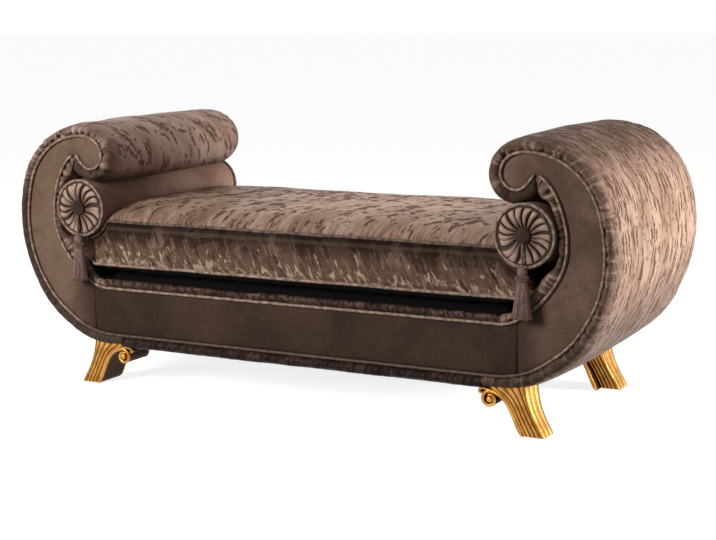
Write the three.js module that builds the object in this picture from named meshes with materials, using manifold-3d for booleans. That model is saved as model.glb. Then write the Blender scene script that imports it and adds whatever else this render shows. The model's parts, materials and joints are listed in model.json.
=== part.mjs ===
// A recamier: a backless upholstered bench whose two ends curl up and over into scrolls.
// It has a timber and plywood frame, padded wraps, velvet facings edged with piping, a loose
// seat cushion, two loose bolsters with pleated rosettes and tassels, and four gilded legs.
// Millimetres, +Z up, +X along the seat and -Y to the front. The origin is on the floor.
// A place along the seat is counted from its middle, and most pieces are made for the right
// front quarter and mirrored.

import * as THREE from "three";
import { mergeVertices } from "three/addons/utils/BufferGeometryUtils.js";
import Module from "manifold-3d";

const wasm = await Module();
wasm.setup();

// Overall sizes
const halfLength = 850; // middle of the seat to the outermost point of the outer piping
const facingDepth = 620; // front facing to back facing
const legHeight = 113;
const bandHeight = 34; // padded roll along the bottom edge
const railHeight = 129; // velvet rail between the two lines of piping
const deckHeight = 40; // fixed pad that the loose cushion lies on
const scrollHeight = 544; // lower seam to the top of the outer piping
const scrollLength = 250; // the curved end's length along the seat
const fitGap = 0.3; // between pieces that touch
const slideGap = 0.45; // between pieces that slide past each other

// Padding and covers
const backPad = 33; // padding on the outside of the scroll
const rollPad = 27; // padding round the small roll
const innerPad = 20; // padding on the seat side of the scroll
const innerPadAtDeck = 36; // the same padding where it meets the deck
const wrapBulge = 17; // how far the wraps swell forward of their seam
const innerBulge = 14;
const bulgeSetBack = 3; // the wraps start this far behind the facing's face
const cuspTaper = 34; // distance from the cusp over which the wraps reach full thickness
const cuspTrim = 6; // the wraps start this far from the cusp
const facingThickness = 8;
const pipingRadius = 4.5;
const pipingTrim = 13; // the inner piping starts this far from the cusp
const facingSeamIn = 218; // seam between the arm facing and the rail cover

// Frame
const boardThickness = 22; // scroll profiles and rails
const panelThickness = 6; // bent plywood on the outside and inside of each scroll
const railDrop = 4; // the top of the rails lies this far below the deck line
const profileFootIn = 290; // where a scroll profile meets the long rail
const crossRailThickness = 28;
const crossRailIn = 196; // middle of an end cross rail
const crossRailRise = 30; // underside of an end cross rail above the lower seam
const outerPanelClearance = 42; // from the end cross rail to the foot of the outer panel
const innerPanelTrim = 62; // the inner panel starts this far from the cusp
const innerPanelClearance = 22; // from the end cross rail to the foot of the inner panel
const webThickness = 3;
const webWidth = 50;
const longWebs = 3;
const crossWebs = 7;
const webOverlap = 27; // the webbing stops this far short of the corner block's outer side
const dustCoverThickness = 1.5;
const dustCoverMargin = 6;

// Legs and what fixes them
const legFootIn = 152; // outer edge of the foot on the floor
const legFootWidth = 62;
const legFootDepth = 66;
const legTopIn = 204; // outer edge of the shank under the wrap
const legTopDepth = 108;
const legSetBack = 8; // face of the leg behind the facing
const reedCount = 4;
const reedDepth = 4;
const voluteRadius = 20;
const voluteIn = 309; // middle of the scroll at the top of the leg
const voluteDepth = 96;
const voluteEyeRadius = 8;
const voluteEyeRise = 4;
const legShelfHeight = 20; // block above the volute
const legShelfIn = 326;
const blockLength = 80;
const blockDepth = 70;
const blockIn = 211;
const boltRadius = 4;
const boltClearance = 0.4;
const boltDown = 62; // length of the bolt in the leg
const boltUp = 84; // length of the bolt in the corner block
const boltIn = 232;
const boltBehindFace = 55;

// Seat cushion
const cushionIn = 198;
const cushionSide = 127; // between its two lines of piping
const cushionEdgeLift = 22; // its lower piping above the deck
const cushionCrown = 38;
const cushionSetBack = 3; // its side behind the facing
const cushionCorner = 34;
const cushionBulge = 8;
const bulgeFadeLength = 60; // over this the swelling of the sides fades out, before the hollow

// Bolsters
const bolsterRadius = 79;
const bolsterOverhang = 14; // its ends stand this far in front of the facings
const bolsterEndDraw = 2.5; // the ends are drawn in by this
const bolsterEndLength = 22;
const rosetteThickness = 14;
const pleatCount = 16;
const pleatDepth = 5;
const buttonRadius = 17;
const buttonThickness = 9;
const buttonSeatRadius = 19;
const buttonSeatHeight = 5;

// Tassels
const cordRadius = 3;
const tasselDrop = 198; // button centre to the ends of the strands
const tasselRadius = 26;
const tasselFlatness = 0.66; // how thick a tassel is for its width

// Places along the seat that follow: those ending in In are counted in from the outermost point
const facingSeam = halfLength - facingSeamIn;
const profileFoot = halfLength - profileFootIn;
const crossRailPlace = halfLength - crossRailIn;
const outerPanelFoot = crossRailPlace + crossRailThickness / 2 + outerPanelClearance;
const innerPanelFoot = crossRailPlace + crossRailThickness / 2 + innerPanelClearance;
const legFootOuter = halfLength - legFootIn;
const legTopOuter = halfLength - legTopIn;
const volutePlace = halfLength - voluteIn;
const legShelfEnd = halfLength - legShelfIn;
const blockOuter = halfLength - blockIn;
const webReach = blockOuter - webOverlap;
const boltPlace = halfLength - boltIn;
const cushionHalfLength = halfLength - cushionIn;

// Heights and depths that follow
const lowerSeam = legHeight + bandHeight;
const deckLine = lowerSeam + railHeight;
const deckTop = deckLine + deckHeight;
const facingFront = facingDepth / 2;
const bolsterHalfLength = facingFront + bolsterOverhang;
const boardFront = facingFront - facingThickness - fitGap;
const boardBack = boardFront - boardThickness;
const railTop = deckLine - railDrop;
const scrollStart = halfLength - scrollLength;
const tasselForward = fitGap + rosetteThickness + fitGap + cordRadius * tasselFlatness; // from the bolster's end

// Materials
const cloth = (color, roughness) => new THREE.MeshStandardMaterial({ color, roughness, metalness: 0 });
const jacquard = cloth(0x8a7263, 0.5);
const velvet = cloth(0x65564b, 0.8);
const rosetteVelvet = cloth(0x8a7768, 0.7);
const piping = cloth(0x7c685c, 0.6);
const tasselYarn = cloth(0x54433d, 0.8);
const webbing = cloth(0x8f7a58, 0.9);
const lining = cloth(0x26221f, 0.95);
const beech = cloth(0xb88f5f, 0.6);
const plywood = cloth(0xc7a673, 0.65);
const gilding = new THREE.MeshStandardMaterial({ color: 0xc8923c, roughness: 0.35, metalness: 0.9 });
const steel = new THREE.MeshStandardMaterial({ color: 0x9a9ca0, roughness: 0.4, metalness: 1 });

// Solids

function solidOf(geometry) {
  const bare = geometry.index ? geometry.toNonIndexed() : geometry.clone();
  bare.deleteAttribute("normal");
  bare.deleteAttribute("uv");
  const merged = mergeVertices(bare, 1e-4);
  const build = (triVerts) =>
    new wasm.Manifold(
      new wasm.Mesh({ numProp: 3, vertProperties: merged.attributes.position.array, triVerts }),
    );
  const triVerts = new Uint32Array(merged.index.array);
  const made = build(triVerts);
  if (made.volume() > 0) return made;
  return build(triVerts.reverse());
}

function geometryOf(solid) {
  const mesh = solid.getMesh();
  const positions = [];
  for (let i = 0; i < mesh.numVert; i += 1) {
    positions.push(...mesh.vertProperties.slice(i * mesh.numProp, i * mesh.numProp + 3));
  }
  const geometry = new THREE.BufferGeometry();
  geometry.setAttribute("position", new THREE.Float32BufferAttribute(positions, 3));
  geometry.setIndex([...mesh.triVerts]);
  geometry.computeVertexNormals();
  return geometry;
}

// A solid through rings of points, all of one length. A looped one has no ends.
function loft(rings, looped = false) {
  const corners = [];
  const triangle = (a, b, c) => [a, b, c].forEach((p) => corners.push(p.x, p.y, p.z));
  const spans = looped ? rings.length : rings.length - 1;
  for (let i = 0; i < spans; i += 1) {
    const near = rings[i];
    const far = rings[(i + 1) % rings.length];
    near.forEach((p, j) => {
      const next = (j + 1) % near.length;
      triangle(p, near[next], far[next]);
      triangle(p, far[next], far[j]);
    });
  }
  const cap = (ring, turned) => {
    const middle = ring.reduce((sum, p) => sum.add(p), new THREE.Vector3()).divideScalar(ring.length);
    ring.forEach((p, j) => {
      const next = ring[(j + 1) % ring.length];
      if (turned) triangle(next, p, middle);
      else triangle(p, next, middle);
    });
  };
  if (!looped) {
    cap(rings[0], true);
    cap(rings[rings.length - 1], false);
  }
  const geometry = new THREE.BufferGeometry();
  geometry.setAttribute("position", new THREE.Float32BufferAttribute(corners, 3));
  return solidOf(geometry);
}

function box(low, high) {
  const size = high.clone().sub(low);
  const geometry = new THREE.BoxGeometry(size.x, size.y, size.z);
  const middle = low.clone().add(high).multiplyScalar(0.5);
  return solidOf(geometry.translate(middle.x, middle.y, middle.z));
}

// An outline of places along the seat and heights, as a plate between two depths
function plate(outline, depthFrom, depthTo) {
  const geometry = new THREE.ExtrudeGeometry(new THREE.Shape(outline), {
    depth: depthTo - depthFrom,
    bevelEnabled: false,
    steps: 1,
  });
  geometry.rotateX(Math.PI / 2);
  return solidOf(geometry.translate(0, depthTo, 0));
}

// A turned shape: the profile holds radii and distances along an axis that points to the front
function turned(profile, segments, alongSeat, height) {
  const geometry = new THREE.LatheGeometry(profile, segments);
  geometry.rotateX(Math.PI);
  return solidOf(geometry.translate(alongSeat, 0, height));
}

const v2 = (x, y) => new THREE.Vector2(x, y);
const v3 = (x, y, z) => new THREE.Vector3(x, y, z);
const smooth = (t) => THREE.MathUtils.smoothstep(t, 0, 1);
const lerp = THREE.MathUtils.lerp;

// The two seam lines of the scroll, from the cusp under the roll

const outerSeamShares = [
  [0.292, 0.903], [0.228, 0.862], [0.136, 0.836], [0.032, 0.844], [-0.04, 0.884], [-0.036, 0.934],
  [0.04, 0.978], [0.18, 1], [0.38, 0.993], [0.58, 0.96], [0.76, 0.897], [0.896, 0.805],
  [0.972, 0.686], [1, 0.557], [0.968, 0.428], [0.872, 0.307], [0.7, 0.186], [0.488, 0.099],
  [0.248, 0.033], [0, 0.004], [-0.24, 0],
];
const innerSeamShares = [
  [0.292, 1], [0.376, 0.983], [0.448, 0.936], [0.524, 0.854], [0.592, 0.729], [0.628, 0.591],
  [0.616, 0.453], [0.556, 0.337], [0.448, 0.224], [0.328, 0.138], [0.2, 0.069], [0.08, 0.019],
  [-0.04, 0],
];
const stepsPerShare = 2;

function seamLine(shares, bottom, height) {
  const points = shares.map(([along, up]) => v2(scrollStart + along * scrollLength, bottom + up * height));
  return new THREE.SplineCurve(points).getPoints((points.length - 1) * stepsPerShare);
}

const outerSeam = seamLine(outerSeamShares, lowerSeam, scrollHeight);
const cuspHeight = outerSeam[0].y;
const innerSeam = seamLine(innerSeamShares, deckLine, cuspHeight - deckLine);
const wrapFoot = outerSeam[outerSeam.length - 1].x;
const deckHalfLength = innerSeam[innerSeam.length - 1].x;

// Each line's stations: the point, the direction away from the facing, and the distance run
function stationsOf(line, turn) {
  let run = 0;
  return line.map((point, i) => {
    const before = line[Math.max(i - 1, 0)];
    const after = line[Math.min(i + 1, line.length - 1)];
    const level = i === line.length - 1;
    const along = level ? v2(-1, 0) : after.clone().sub(before).normalize();
    if (i > 0) run += point.distanceTo(before);
    return { point, away: v2(-along.y * turn, along.x * turn), run };
  });
}

const outerStations = stationsOf(outerSeam, 1);
const innerStations = stationsOf(innerSeam, -1);
const runOf = (stations) => stations[stations.length - 1].run;

function stationAt(stations, run) {
  const next = Math.max(1, stations.findIndex((s) => s.run >= run));
  const a = stations[next - 1];
  const b = stations[next];
  const t = (run - a.run) / (b.run - a.run);
  return { point: a.point.clone().lerp(b.point, t), away: a.away.clone().lerp(b.away, t), run };
}

function stationsBetween(stations, from, to) {
  const inside = stations.filter((s) => s.run > from && s.run < to);
  return [stationAt(stations, from), ...inside, stationAt(stations, to)];
}

// The distance run where a line first passes a place along the seat, after its widest point
function runAtPlace(stations, place) {
  const widest = stations.reduce((best, s, i) => (s.point.x > stations[best].point.x ? i : best), 0);
  const next = stations.findIndex((s, i) => i > widest && s.point.x <= place);
  const a = stations[next - 1];
  const b = stations[next];
  return lerp(a.run, b.run, (place - a.point.x) / (b.point.x - a.point.x));
}

const atOffset = (station, offset, depth) =>
  v3(
    station.point.x + station.away.x * offset,
    depth,
    station.point.y + station.away.y * offset,
  );

// Padded wraps: foam and cover that follow a seam line, swelling forward at both edges

const outerEdgeShares = [[0, 0], [0.17, 0.3], [0.29, 0.78], [0.55, 1], [0.88, 0.62], [1, -0.5]];
const innerEdgeShares = [[0, 0], [0.27, 0.35], [0.42, 0.8], [0.72, 1], [1, 0.2]];

function wrapRing(station, edgeShares, pad, bulge, gap) {
  const taper = Math.min(1, station.run / cuspTaper);
  const edge = edgeShares.map(([out, forward]) => [
    gap + out * (pad * taper - gap),
    facingFront - bulgeSetBack + forward * bulge * taper,
  ]);
  const front = edge.map(([offset, depth]) => atOffset(station, offset, -depth));
  const back = edge.map(([offset, depth]) => atOffset(station, offset, depth)).reverse();
  return [...front, ...back];
}

const rollEndShare = 0.1;
const backStartShare = 0.26;
const outerPadAt = (run) => {
  const share = run / runOf(outerStations);
  return lerp(rollPad, backPad, smooth((share - rollEndShare) / (backStartShare - rollEndShare)));
};
const deckBlendShare = 0.6;
const lowerHalfShare = 0.4;
const innerPadAt = (run) => {
  const share = run / runOf(innerStations);
  return lerp(innerPad, innerPadAtDeck, smooth((share - deckBlendShare) / (1 - deckBlendShare)));
};

const outerWrapStations = stationsBetween(outerStations, cuspTrim, runOf(outerStations));
const innerWrapStations = stationsBetween(innerStations, cuspTrim, runOf(innerStations));

const farSide = 2 * halfLength; // past everything, for cutting
const beyond = (place) => box(v3(place, -farSide, -farSide), v3(farSide, farSide, farSide));

// The padded outside with some room round it, which the legs are cut to
function wrapEnvelope() {
  const rings = stationsBetween(outerStations, runOf(outerStations) * backStartShare, runOf(outerStations))
    .map((s) => wrapRing(s, outerEdgeShares, outerPadAt(s.run) + fitGap, wrapBulge + fitGap, fitGap));
  const last = rings[rings.length - 1];
  rings.push(last.map((p) => p.clone().setX(legShelfEnd - backPad)));
  return loft(rings);
}

const blockLow = v3(blockOuter - blockLength, -boardBack + fitGap, legHeight + fitGap);
const blockHigh = v3(blockOuter, -boardBack + fitGap + blockDepth, railTop - fitGap);
const clearOf = (low, high, gap) => box(low.clone().subScalar(gap), high.clone().addScalar(gap));

function outerWrap() {
  const wrap = loft(
    outerWrapStations.map((s) => wrapRing(s, outerEdgeShares, outerPadAt(s.run), wrapBulge, fitGap)),
  );
  const mirrored = (p) => v3(p.x, -p.y, p.z);
  const backLow = mirrored(v3(blockLow.x, blockHigh.y, blockLow.z));
  const backHigh = mirrored(v3(blockHigh.x, blockLow.y, blockHigh.z));
  return wrap
    .subtract(clearOf(blockLow, blockHigh, fitGap))
    .subtract(clearOf(backLow, backHigh, fitGap))
    .intersect(beyond(wrapFoot));
}

const innerWrap = () =>
  loft(innerWrapStations.map((s) => wrapRing(s, innerEdgeShares, innerPadAt(s.run), innerBulge, fitGap)))
    .intersect(beyond(deckHalfLength));

// The face of the bench: everything between the outer and the inner seam, from end to end

function faceOutline(inset) {
  const outer = outerStations.map((s) => v2(s.point.x - s.away.x * inset, s.point.y - s.away.y * inset));
  const inner = innerStations.map((s) => v2(s.point.x - s.away.x * inset, s.point.y - s.away.y * inset));
  const right = [...outer.reverse(), ...inner.slice(1)];
  const left = right.map((p) => v2(-p.x, p.y)).reverse();
  return [...right, ...left];
}

const seamTop = deckLine + bandHeight; // above the seam's upper end, below the roll

const faceCover = plate(faceOutline(0), -facingFront, -facingFront + facingThickness);
const railCover = faceCover
  .intersect(box(v3(-facingSeam + fitGap / 2, -farSide, -farSide), v3(facingSeam - fitGap / 2, farSide, seamTop)));
const armFacing = faceCover
  .intersect(box(v3(0, -farSide, -farSide), v3(farSide, farSide, farSide)))
  .subtract(box(v3(-farSide, -farSide, -farSide), v3(facingSeam + fitGap / 2, farSide, seamTop)));
const scrollProfile = plate(faceOutline(fitGap), -boardFront, -boardBack)
  .intersect(box(v3(profileFoot + fitGap, -farSide, -farSide), v3(farSide, farSide, farSide)))
  .subtract(box(v3(0, -farSide, railTop), v3(webReach + fitGap, farSide, seamTop)));

// Timber frame

const longRail = () =>
  box(v3(-profileFoot, -boardFront, lowerSeam), v3(profileFoot, -boardBack, railTop));

const crossRailDepth = boardBack - fitGap;
const crossRail = (middle, bottom) =>
  box(
    v3(middle - crossRailThickness / 2, -crossRailDepth, bottom),
    v3(middle + crossRailThickness / 2, crossRailDepth, railTop),
  );

function panel(stations, from, to) {
  const rings = stationsBetween(stations, from, to).map((s) => [
    atOffset(s, -fitGap, -crossRailDepth),
    atOffset(s, -fitGap, crossRailDepth),
    atOffset(s, -fitGap - panelThickness, crossRailDepth),
    atOffset(s, -fitGap - panelThickness, -crossRailDepth),
  ]);
  return loft(rings);
}

const outerPanel = () => panel(outerStations, cuspTaper, runAtPlace(outerStations, outerPanelFoot));
const innerPanel = () => panel(innerStations, innerPanelTrim, runAtPlace(innerStations, innerPanelFoot));

const bolt = (radius, low, high) => {
  const geometry = new THREE.CylinderGeometry(radius, radius, high - low, 12);
  geometry.rotateX(Math.PI / 2);
  return solidOf(geometry.translate(boltPlace, -facingFront + boltBehindFace, (low + high) / 2));
};
const boltLow = legHeight - boltDown;
const boltHigh = legHeight + boltUp;
const boltBore = () => bolt(boltRadius + boltClearance, boltLow - fitGap, boltHigh + fitGap);
const cornerBlock = () => box(blockLow, blockHigh).subtract(boltBore());

// Elastic webbing on the rails, woven into one net

function webNet() {
  const bottom = railTop + fitGap;
  const half = webWidth / 2;
  const depth = boardFront;
  const longSpacing = (2 * depth - webWidth) / (longWebs + 1);
  const crossSpacing = (2 * webReach - webWidth) / (crossWebs - 1);
  let net = null;
  const lay = (low, high) => {
    const strap = box(low, high);
    net = net ? net.add(strap) : strap;
  };
  for (let i = 0; i < crossWebs; i += 1) {
    const middle = -webReach + half + i * crossSpacing;
    lay(v3(middle - half, -depth, bottom), v3(middle + half, depth, bottom + webThickness));
  }
  for (let i = 1; i <= longWebs; i += 1) {
    const middle = -depth + half + i * longSpacing;
    lay(v3(-webReach, middle - half, bottom), v3(webReach, middle + half, bottom + webThickness));
  }
  return net;
}

const dustCover = () =>
  box(
    v3(-wrapFoot + dustCoverMargin, -boardBack + dustCoverMargin, lowerSeam - dustCoverThickness),
    v3(wrapFoot - dustCoverMargin, boardBack - dustCoverMargin, lowerSeam - fitGap),
  );

// Long pads with one profile of depths and heights from end to end

function longPad(profile, half) {
  const ring = (place) => profile.map(([depth, height]) => v3(place, depth, height));
  return loft([ring(-half), ring(half)]);
}

// The profile's shares: back from the swelling's front, and up from the line of the seam
const deckEdgeShares = [
  [0.165, 0], [0.155, 0.07], [0.1, 0.2], [0.02, 0.34], [0, 0.47], [0.09, 0.65], [0.32, 0.83],
  [0.64, 0.95], [1, 1],
];
const deckEdgeDepth = 74;

function deckPad() {
  const front = facingFront + innerBulge - bulgeSetBack;
  const bottom = deckLine + fitGap;
  const edge = deckEdgeShares.map(([back, up]) => [
    -front + back * deckEdgeDepth,
    bottom + up * (deckTop - bottom),
  ]);
  const rear = edge.map(([depth, height]) => [-depth, height]).reverse();
  return longPad([...edge, ...rear], deckHalfLength - fitGap);
}

const bandEdgeShares = [
  [0.39, 1], [0.27, 0.83], [0.11, 0.73], [0, 0.48], [0.08, 0.2], [0.31, 0.03], [0.66, 0], [1, 0], [1, 1],
];
const bandDepth = 44;

function bottomBand() {
  const front = facingFront + wrapBulge - bulgeSetBack;
  const bottom = legHeight + fitGap;
  const profile = bandEdgeShares.map(([back, up]) => [
    -front + back * bandDepth,
    bottom + up * (lowerSeam - fitGap - bottom),
  ]);
  return longPad(profile, wrapFoot - fitGap);
}

// Piping: round cord in a sleeve of cloth, swept along stations that hold a place and two
// directions square to the way it runs

const pipingSides = 5;

// A looped one turns a corner of its section to the wall that it lies on
function sweep(path, looped = false) {
  const start = looped ? Math.PI : 0;
  const rings = path.map(({ at, across, up }) =>
    Array.from({ length: pipingSides }, (_, i) => {
      const angle = start + (i / pipingSides) * 2 * Math.PI;
      return at
        .clone()
        .addScaledVector(across, Math.cos(angle) * pipingRadius)
        .addScaledVector(up, Math.sin(angle) * pipingRadius);
    }),
  );
  return loft(rings, looped);
}

function seamPiping(stations, from, thinning) {
  const depth = -facingFront - pipingRadius - fitGap;
  const rollRun = runOf(stations) * backStartShare;
  const kept = stationsBetween(stations, from, runOf(stations)).filter(
    (s, i, all) => s.run < rollRun || i === all.length - 1 || i % thinning === 0,
  );
  const right = kept.map((s) => ({
    at: atOffset(s, 0, depth),
    across: v3(s.away.x, 0, s.away.y),
    up: v3(0, 1, 0),
  }));
  const left = right.map(({ at, across, up }) => ({
    at: v3(-at.x, at.y, at.z),
    across: v3(-across.x, 0, across.z),
    up,
  }));
  return sweep([...right, ...left.reverse()]);
}

const outerPiping = () => seamPiping(outerStations, 0, 2);
const innerPiping = () => seamPiping(innerStations, pipingTrim, 1);

// Height of the inner padding's surface at a place along the seat, on its lower half
function innerSurfaceAt(place) {
  const surface = innerWrapStations.map((s) => atOffset(s, innerPadAt(s.run), 0));
  const low = surface.filter((p) => p.z < lerp(deckLine, cuspHeight, lowerHalfShare));
  const next = low.findIndex((p) => p.x < place);
  if (next < 1) return next < 0 ? -farSide : farSide;
  const a = low[next - 1];
  const b = low[next];
  return lerp(a.z, b.z, (place - a.x) / (b.x - a.x));
}

// The bolster lies in the curve of the scroll, under the roll and against the padding

function bolsterPlace() {
  const surface = innerWrapStations.map((s) => atOffset(s, innerPadAt(s.run), 0));
  const rollBottom = Math.min(...outerWrapStations.map((s) => (
    s.point.x < outerSeam[0].x && s.point.y > cuspHeight - scrollHeight / 4
      ? atOffset(s, outerPadAt(s.run), 0).z
      : Infinity)));
  const height = rollBottom - slideGap - bolsterRadius;
  const reach = bolsterRadius + slideGap;
  const limits = surface.slice(1).flatMap((b, i) => {
    const a = surface[i];
    return [0, 0.25, 0.5, 0.75].map((t) => {
      const p = a.clone().lerp(b, t);
      const rise = p.z - height;
      return Math.abs(rise) < reach ? p.x - Math.sqrt(reach * reach - rise * rise) : Infinity;
    });
  });
  return v2(Math.min(...limits), height);
}

const bolsterAxis = bolsterPlace();
const bolsterSegments = 28;

function bolster() {
  const drawn = bolsterRadius - bolsterEndDraw;
  const half = bolsterHalfLength;
  const shoulder = half - bolsterEndLength;
  const profile = [
    v2(0, -half), v2(drawn, -half), v2(bolsterRadius, -shoulder),
    v2(bolsterRadius, shoulder), v2(drawn, half), v2(0, half),
  ];
  return turned(profile, bolsterSegments, bolsterAxis.x, bolsterAxis.y);
}

// A rosette: cloth gathered to the middle in pleats, inside a ring of piping. Each share is of
// the radius, then of the thickness, then of the pleat's depth.
const rosetteShares = [
  [1, 0, 0], [1, 0.45, 0], [0.95, 0.75, 0], [0.9, 0.36, 0], [0.8, 0.7, 0.8], [0.5, 1, 1],
];

function rosette() {
  const outer = bolsterRadius - bolsterEndDraw;
  const base = bolsterHalfLength + fitGap;
  const count = pleatCount * 2;
  const ring = (radius, height, pleat) =>
    Array.from({ length: count }, (_, i) => {
      const angle = (i / count) * 2 * Math.PI;
      const depth = base + height - (i % 2 ? pleat : 0);
      return v3(
        bolsterAxis.x + radius * Math.cos(angle),
        -depth,
        bolsterAxis.y + radius * Math.sin(angle),
      );
    });
  return loft([
    ...rosetteShares.map(([r, h, p]) => ring(r * outer, h * rosetteThickness, p * pleatDepth)),
    ring(buttonSeatRadius, buttonSeatHeight, 0),
  ]);
}

const buttonShares = [[0, 0], [0.8, 0], [1, 0.35], [0.7, 0.9], [0, 1]];
const buttonSegments = 16;

function button() {
  const base = bolsterHalfLength + fitGap + buttonSeatHeight + fitGap;
  const profile = buttonShares.map(([r, h]) => v2(r * buttonRadius, base + h * buttonThickness));
  return turned(profile, buttonSegments, bolsterAxis.x, bolsterAxis.y);
}

// A tassel: a short cord, a wound head, a collar of loops and a skirt of strands. Each share is
// of the skirt's radius, then of the drop below the button's centre.
const tasselShares = [
  [0.22, 0.385], [0.42, 0.4], [0.46, 0.425], [0.26, 0.46], [0.3, 0.475], [0.56, 0.5], [0.58, 0.545],
  [0.5, 0.56], [0.72, 0.72], [0.94, 0.94], [1, 1],
];
const tasselSegments = 14;

function tassel() {
  const top = buttonRadius + slideGap;
  const below = tasselShares.map(([r, d]) => v2(r * tasselRadius, -d * tasselDrop));
  const neck = v2(cordRadius, below[0].y + cordRadius);
  const last = v2(0, -tasselDrop);
  const profile = [v2(0, -top), v2(cordRadius, -top), neck, ...below, last].reverse();
  const geometry = new THREE.LatheGeometry(profile, tasselSegments);
  geometry.rotateX(Math.PI / 2);
  geometry.scale(1, tasselFlatness, 1);
  return solidOf(geometry.translate(bolsterAxis.x, -bolsterHalfLength - tasselForward, bolsterAxis.y));
}

// Seat cushion, hollowed under the bolsters that press into its ends

const cushionFront = facingFront - cushionSetBack;
const cushionLow = deckTop + cushionEdgeLift;
const cushionHigh = cushionLow + cushionSide;
const cushionStraight = cushionHalfLength - cushionCorner;
const straightPlaceShares = [0, 0.3, 0.56, 0.75, 0.88, 0.95];
const hollowSteps = 6;
const cornerSteps = 3;
const hollowRadius = (bolsterRadius + slideGap) / Math.cos(Math.PI / 4 / hollowSteps);
const hollowStart = bolsterAxis.x - hollowRadius;
const bulgeFade = hollowStart - bulgeFadeLength;

// How much of the crown is reached at a share of the half depth in from the edge
const crownReach = 0.62;
const underRate = 2; // the underside reaches the deck this much sooner
const puff = (share) => Math.sqrt(1 - (1 - Math.min(1, Math.max(0, share) / crownReach)) ** 2);

function hollowHeight(place, radius) {
  const away = place - bolsterAxis.x;
  return Math.abs(away) < radius ? bolsterAxis.y - Math.sqrt(radius * radius - away * away) : farSide;
}

const underShares = [-1, -0.9, -0.68, 0.68, 0.9, 1];
const topShares = [1, 0.95, 0.85, 0.65, 0.35, -0.35, -0.65, -0.85, -0.95, -1];
const sideShares = [0.22, 0.5, 0.78];

function cushionSection(place) {
  const turned = Math.max(0, place - cushionStraight);
  const drawn = cushionCorner - Math.sqrt(Math.max(0, cushionCorner ** 2 - turned ** 2));
  const half = cushionFront - drawn;
  const endPuff = puff((cushionHalfLength - place) / cushionFront);
  const swell = cushionBulge * (1 - smooth((place - bulgeFade) / bulgeFadeLength));
  const padded = innerSurfaceAt(Math.max(place, deckHalfLength + fitGap)) + slideGap;
  const low = place < deckHalfLength ? cushionLow : Math.max(cushionLow, padded);
  const high = Math.min(cushionHigh, hollowHeight(place, hollowRadius));
  const underPuff = puff((underRate * (cushionHalfLength - place)) / cushionFront);
  const underAt = (share) => {
    const sunk = low - cushionEdgeLift * puff(underRate * (1 - Math.abs(share))) * underPuff;
    return Math.max(sunk, deckTop, place < deckHalfLength ? 0 : padded) + fitGap;
  };
  const topAt = (share) => {
    const crown = cushionHigh + cushionCrown * puff(1 - Math.abs(share)) * endPuff;
    return Math.min(crown, hollowHeight(place, hollowRadius));
  };
  const sideAt = (share) => half + swell * (1 - Math.abs(share - 0.5) / (0.5 - sideShares[0]));
  return [
    ...underShares.map((t) => v2(t * half, underAt(t))),
    ...sideShares.map((t) => v2(sideAt(t), lerp(low, high, t))),
    ...topShares.map((t) => v2(t * half, topAt(t))),
    ...[...sideShares].reverse().map((t) => v2(-sideAt(t), lerp(low, high, t))),
  ];
}

function seatCushion() {
  const places = straightPlaceShares.map((t) => t * hollowStart);
  for (let i = 0; i <= hollowSteps; i += 1) {
    places.push(bolsterAxis.x - hollowRadius * Math.cos((i / hollowSteps) * (Math.PI / 2)));
  }
  for (let i = 1; i <= cornerSteps; i += 1) {
    places.push(cushionStraight + cushionCorner * Math.sin((i / cornerSteps) * (Math.PI / 2)));
  }
  const right = places
    .filter((p) => p <= cushionHalfLength)
    .sort((a, b) => a - b)
    .filter((p, i, all) => i === 0 || p - all[i - 1] > slideGap);
  const all = [...right.slice(1).map((p) => -p).reverse(), ...right];
  return loft(all.map((x) => cushionSection(Math.abs(x)).map((p) => v3(x, p.x, p.y))));
}

// Its piping runs outside the side walls, and dips under the bolsters at the upper edge
const dipSteps = 5;
const pipingCornerSteps = 6;

function cushionPiping(height, dips) {
  const out = pipingRadius + fitGap;
  const clear = bolsterRadius + pipingRadius + 2 * slideGap;
  const heightAt = (place) => {
    if (!dips) return Math.max(height, innerSurfaceAt(Math.abs(place) + pipingRadius) + 2 * pipingRadius);
    return Math.min(height, hollowHeight(Math.abs(place), clear));
  };
  const long = cushionStraight;
  const deep = cushionFront - cushionCorner;
  const rise = bolsterAxis.y - height;
  const dipStart = bolsterAxis.x - Math.sqrt(Math.max(clear * clear - rise * rise, 0));
  const places = [-long / 3, long / 3];
  for (let i = 0; i <= dipSteps; i += 1) {
    places.push(lerp(dips ? dipStart : long * 0.9, long, (i / dipSteps) ** 1.6));
  }
  const plan = places.map((x) => [v2(x, -cushionFront), v2(0, -1)]);
  for (let i = 1; i <= pipingCornerSteps; i += 1) {
    const angle = -Math.PI / 2 + (i / pipingCornerSteps) * (Math.PI / 2);
    const away = v2(Math.cos(angle), Math.sin(angle));
    plan.push([v2(long, -deep).addScaledVector(away, cushionCorner), away]);
  }
  const half = [...plan, ...plan.map(([p, n]) => [v2(p.x, -p.y), v2(n.x, -n.y)]).reverse()];
  const trimmed = half.filter(([p]) => p.x > 0);
  const whole = [...trimmed, ...trimmed.map(([p, n]) => [v2(-p.x, -p.y), v2(-n.x, -n.y)])];
  const points = whole.map(([p, n]) => {
    const at = p.clone().addScaledVector(n, out);
    return { at: v3(at.x, at.y, heightAt(at.x)), across: v3(n.x, n.y, 0) };
  });
  const path = points.map(({ at, across }, i) => {
    const before = points[(i + points.length - 1) % points.length].at;
    const after = points[(i + 1) % points.length].at;
    const along = after.clone().sub(before).normalize();
    const up = along.clone().cross(across).normalize();
    return { at, across, up };
  });
  return sweep(path, true);
}

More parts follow.
